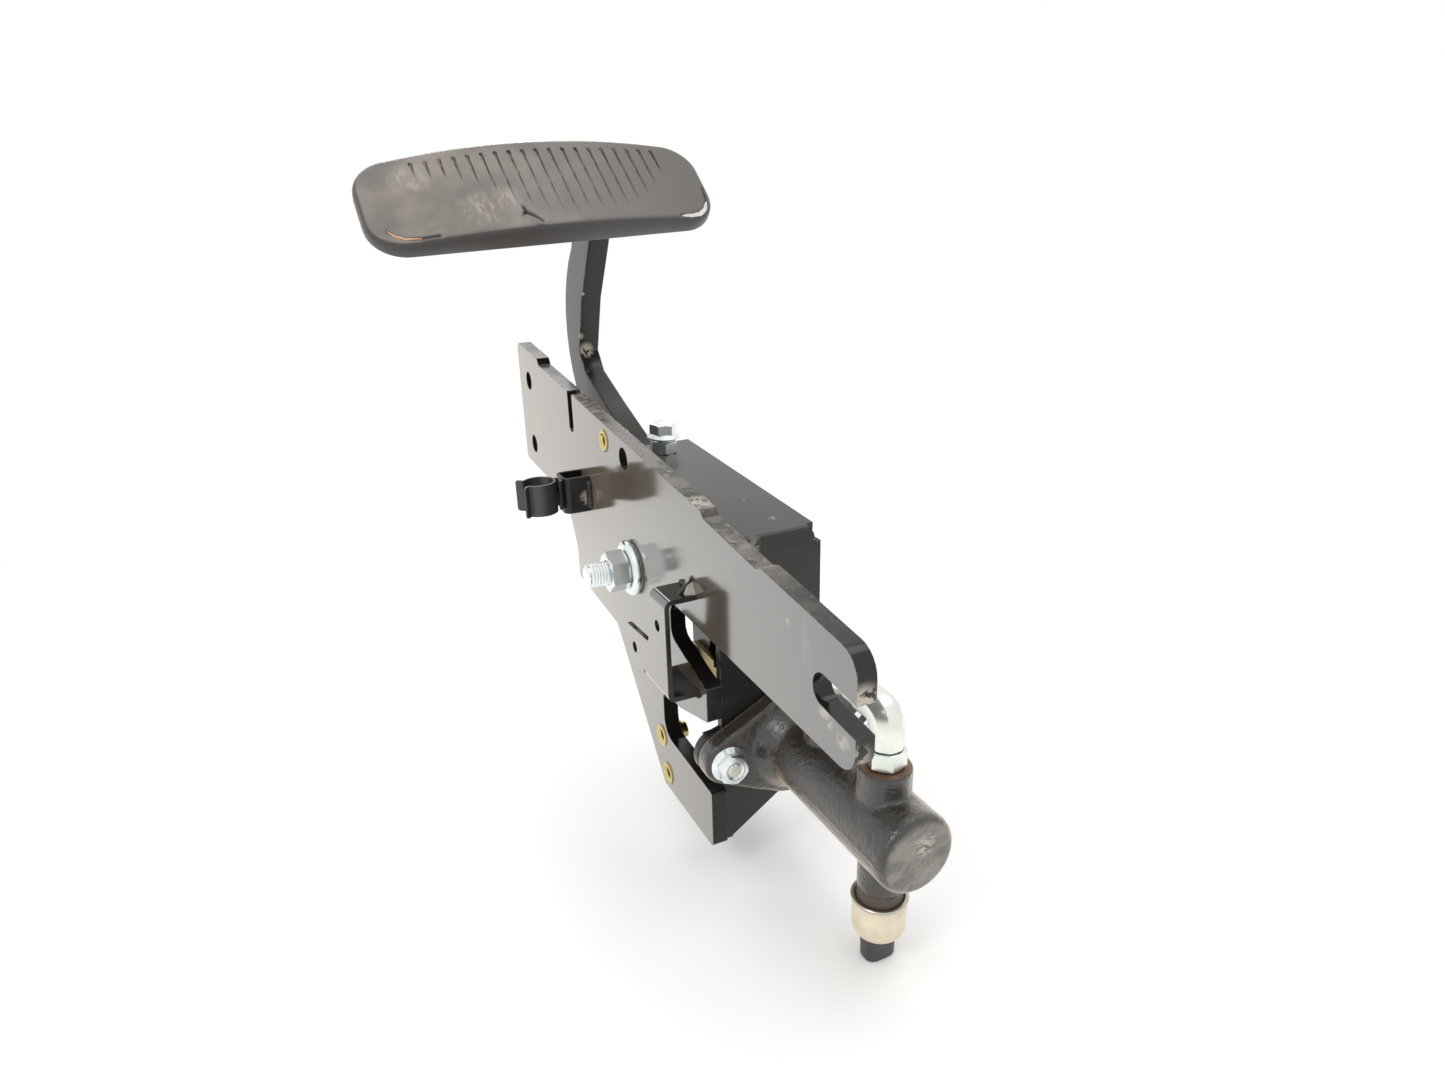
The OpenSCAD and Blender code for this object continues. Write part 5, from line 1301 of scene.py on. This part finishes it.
class FOOTVALVE_OT_switch(bpy.types.Operator):
    """Pressure switch, its collar and plug"""
    bl_idname = "foot_valve.switch"
    bl_label = "Pressure switch"

    def execute(self, context):
        colours = context.scene.valve_colours
        cream = plain_surface("moulded cream polyester", colours.cream, 0.38, grain_mm=1.2, depth_mm=0.02)
        brown = plain_surface("oily crimped steel", "#4B3B31", 0.35, 1.6, grain_mm=1.5, wear=0.4)
        black = plain_surface("moulded black nylon", colours.plastic, 0.42, 1.53, grain_mm=1.0)
        rim = plated_steel("rolled steel rim", "#C9C2B2", 0.3, 5, 0.3)
        low, high = measured("switch_body")
        collar_low, collar_high = span("switch_collar", 2)
        plug_low, plug_high = measured("switch_connector")
        # The can's rim stands this much higher than in the CAD, so less of the dark collar shows.
        lift = 3.4
        top, full, r = collar_low - low[2], high[2] - low[2], (high[0] - low[0]) / 2
        can = [(0.0, 0.4), (0.0, r - 5.6), (0.5, r - 4.4), (1.6, r - 3.0), (3.2, r - 1.9), (5.0, r - 1.1),
               (6.0, r - 0.9), (top - 2.4 + lift, r - 0.8), (top - 1.7 + lift, r - 0.8),
               (top - 1.5 + lift, r - 1.2), (top - 1.5 + lift, r - 2.0), (top + 0.2, r - 2.2),
               (top + 0.3, 5.9), (full, 5.9), (full, 0.4)]
        lip = [(lift + z, r - inwards) for z, inwards in ((-1.9, 1.4), (-1.9, 0.3), (-1.4, 0.0), (-0.5, 0.0),
                                                          (-0.1, 0.4), (-0.1, 1.8), (-0.9, 1.9))]
        h = collar_high - collar_low
        collar = [(0.0, 6.1), (0.0, r - 2.6), (lift, r - 2.6), (h - 3.4, 12.4), (h - 1.4, 12.3),
                  (h - 0.1, 12.2), (h - 0.1, 6.1)]

        def centred(z):
            return set_at(spot(middle("switch_body", 0), middle("switch_body", 1), z))

        stand("switch_can", moved(rings(can), centred(low[2])), cream, "switch_body", angle=40)
        stand("switch_rim", moved(rings(lip, closed=True), centred(collar_low)), rim, slot="bright_zinc")
        stand("switch_crimp", moved(rings(collar, closed=True), centred(collar_low)), brown, "switch_collar")

        rx, ry, height = ((b - a) / share for a, b, share in zip(plug_low, plug_high, (2, 2, 1)))
        plug = lofted([[(a * k, b * k, z) for a, b in oblong(rx, ry)] for z, k in (
            (6.0, 0.70), (0.0, 0.76), (0.0, 0.86), (0.25, 0.93), (0.9, 0.965), (9.0, 0.975), (9.3, 1.0),
            (height - 0.1, 1.0))])
        tongue = [(x, ry + y, z) for low_z, high_z in ((3.0, 3.6), (9.4, 8.4))
                  for x, y, z in ((-1.6, -0.9, low_z), (1.6, -0.9, low_z), (1.6, 0.0, high_z),
                                  (-1.6, 0.0, high_z))]
        latch = (tongue, [(0, 1, 2, 3), (4, 7, 6, 5), (0, 4, 5, 1), (3, 2, 6, 7), (0, 3, 7, 4), (1, 5, 6, 2)])
        pins = [moved(rings([(0, 0.2), (0, 1.0), (6.5, 1.0), (6.5, 0.2)], 24),
                      Matrix.Translation((0, y, 0.6))) for y in (-2.6, 2.6)]
        place = centred(plug_low[2])
        stand("switch_plug", moved(join_shapes(plug, latch), place), black, "switch_connector", angle=40)
        stand("switch_contacts", moved(join_shapes(*pins), place), rim, angle=40, slot="bright_zinc")
        return {"FINISHED"}


PIECES = (FOOTVALVE_OT_stage, FOOTVALVE_OT_plates, FOOTVALVE_OT_bracket, FOOTVALVE_OT_hose_clip,
          FOOTVALVE_OT_pivot, FOOTVALVE_OT_stop_bolt, FOOTVALVE_OT_inserts, FOOTVALVE_OT_pedal_arm,
          FOOTVALVE_OT_pad, FOOTVALVE_OT_linkage, FOOTVALVE_OT_casting, FOOTVALVE_OT_flange_fasteners,
          FOOTVALVE_OT_fittings, FOOTVALVE_OT_switch)


class FOOTVALVE_PT_panel(bpy.types.Panel):
    bl_label = "Foot valve"
    bl_idname = "FOOTVALVE_PT_panel"
    bl_space_type = "VIEW_3D"
    bl_region_type = "UI"
    bl_category = "Foot valve"

    def draw(self, context):
        for group in (context.scene.valve_sizes, context.scene.pad_sizes, context.scene.valve_colours):
            box = self.layout.box()
            for key in group.__annotations__:
                box.prop(group, key)
        for piece in PIECES:
            self.layout.operator(piece.bl_idname)


CLASSES = (ValveColours, ValveSizes, PadSizes, *PIECES, FOOTVALVE_PT_panel)


def register():
    for cls in CLASSES:
        bpy.utils.register_class(cls)
    bpy.types.Scene.valve_colours = PointerProperty(type=ValveColours)
    bpy.types.Scene.valve_sizes = PointerProperty(type=ValveSizes)
    bpy.types.Scene.pad_sizes = PointerProperty(type=PadSizes)


def unregister():
    del bpy.types.Scene.pad_sizes
    del bpy.types.Scene.valve_sizes
    del bpy.types.Scene.valve_colours
    for cls in reversed(CLASSES):
        bpy.utils.unregister_class(cls)


def main():
    register()
    for piece in PIECES:
        group, name = piece.bl_idname.split(".")
        getattr(getattr(bpy.ops, group), name)()


if __name__ == "__main__":
    main()
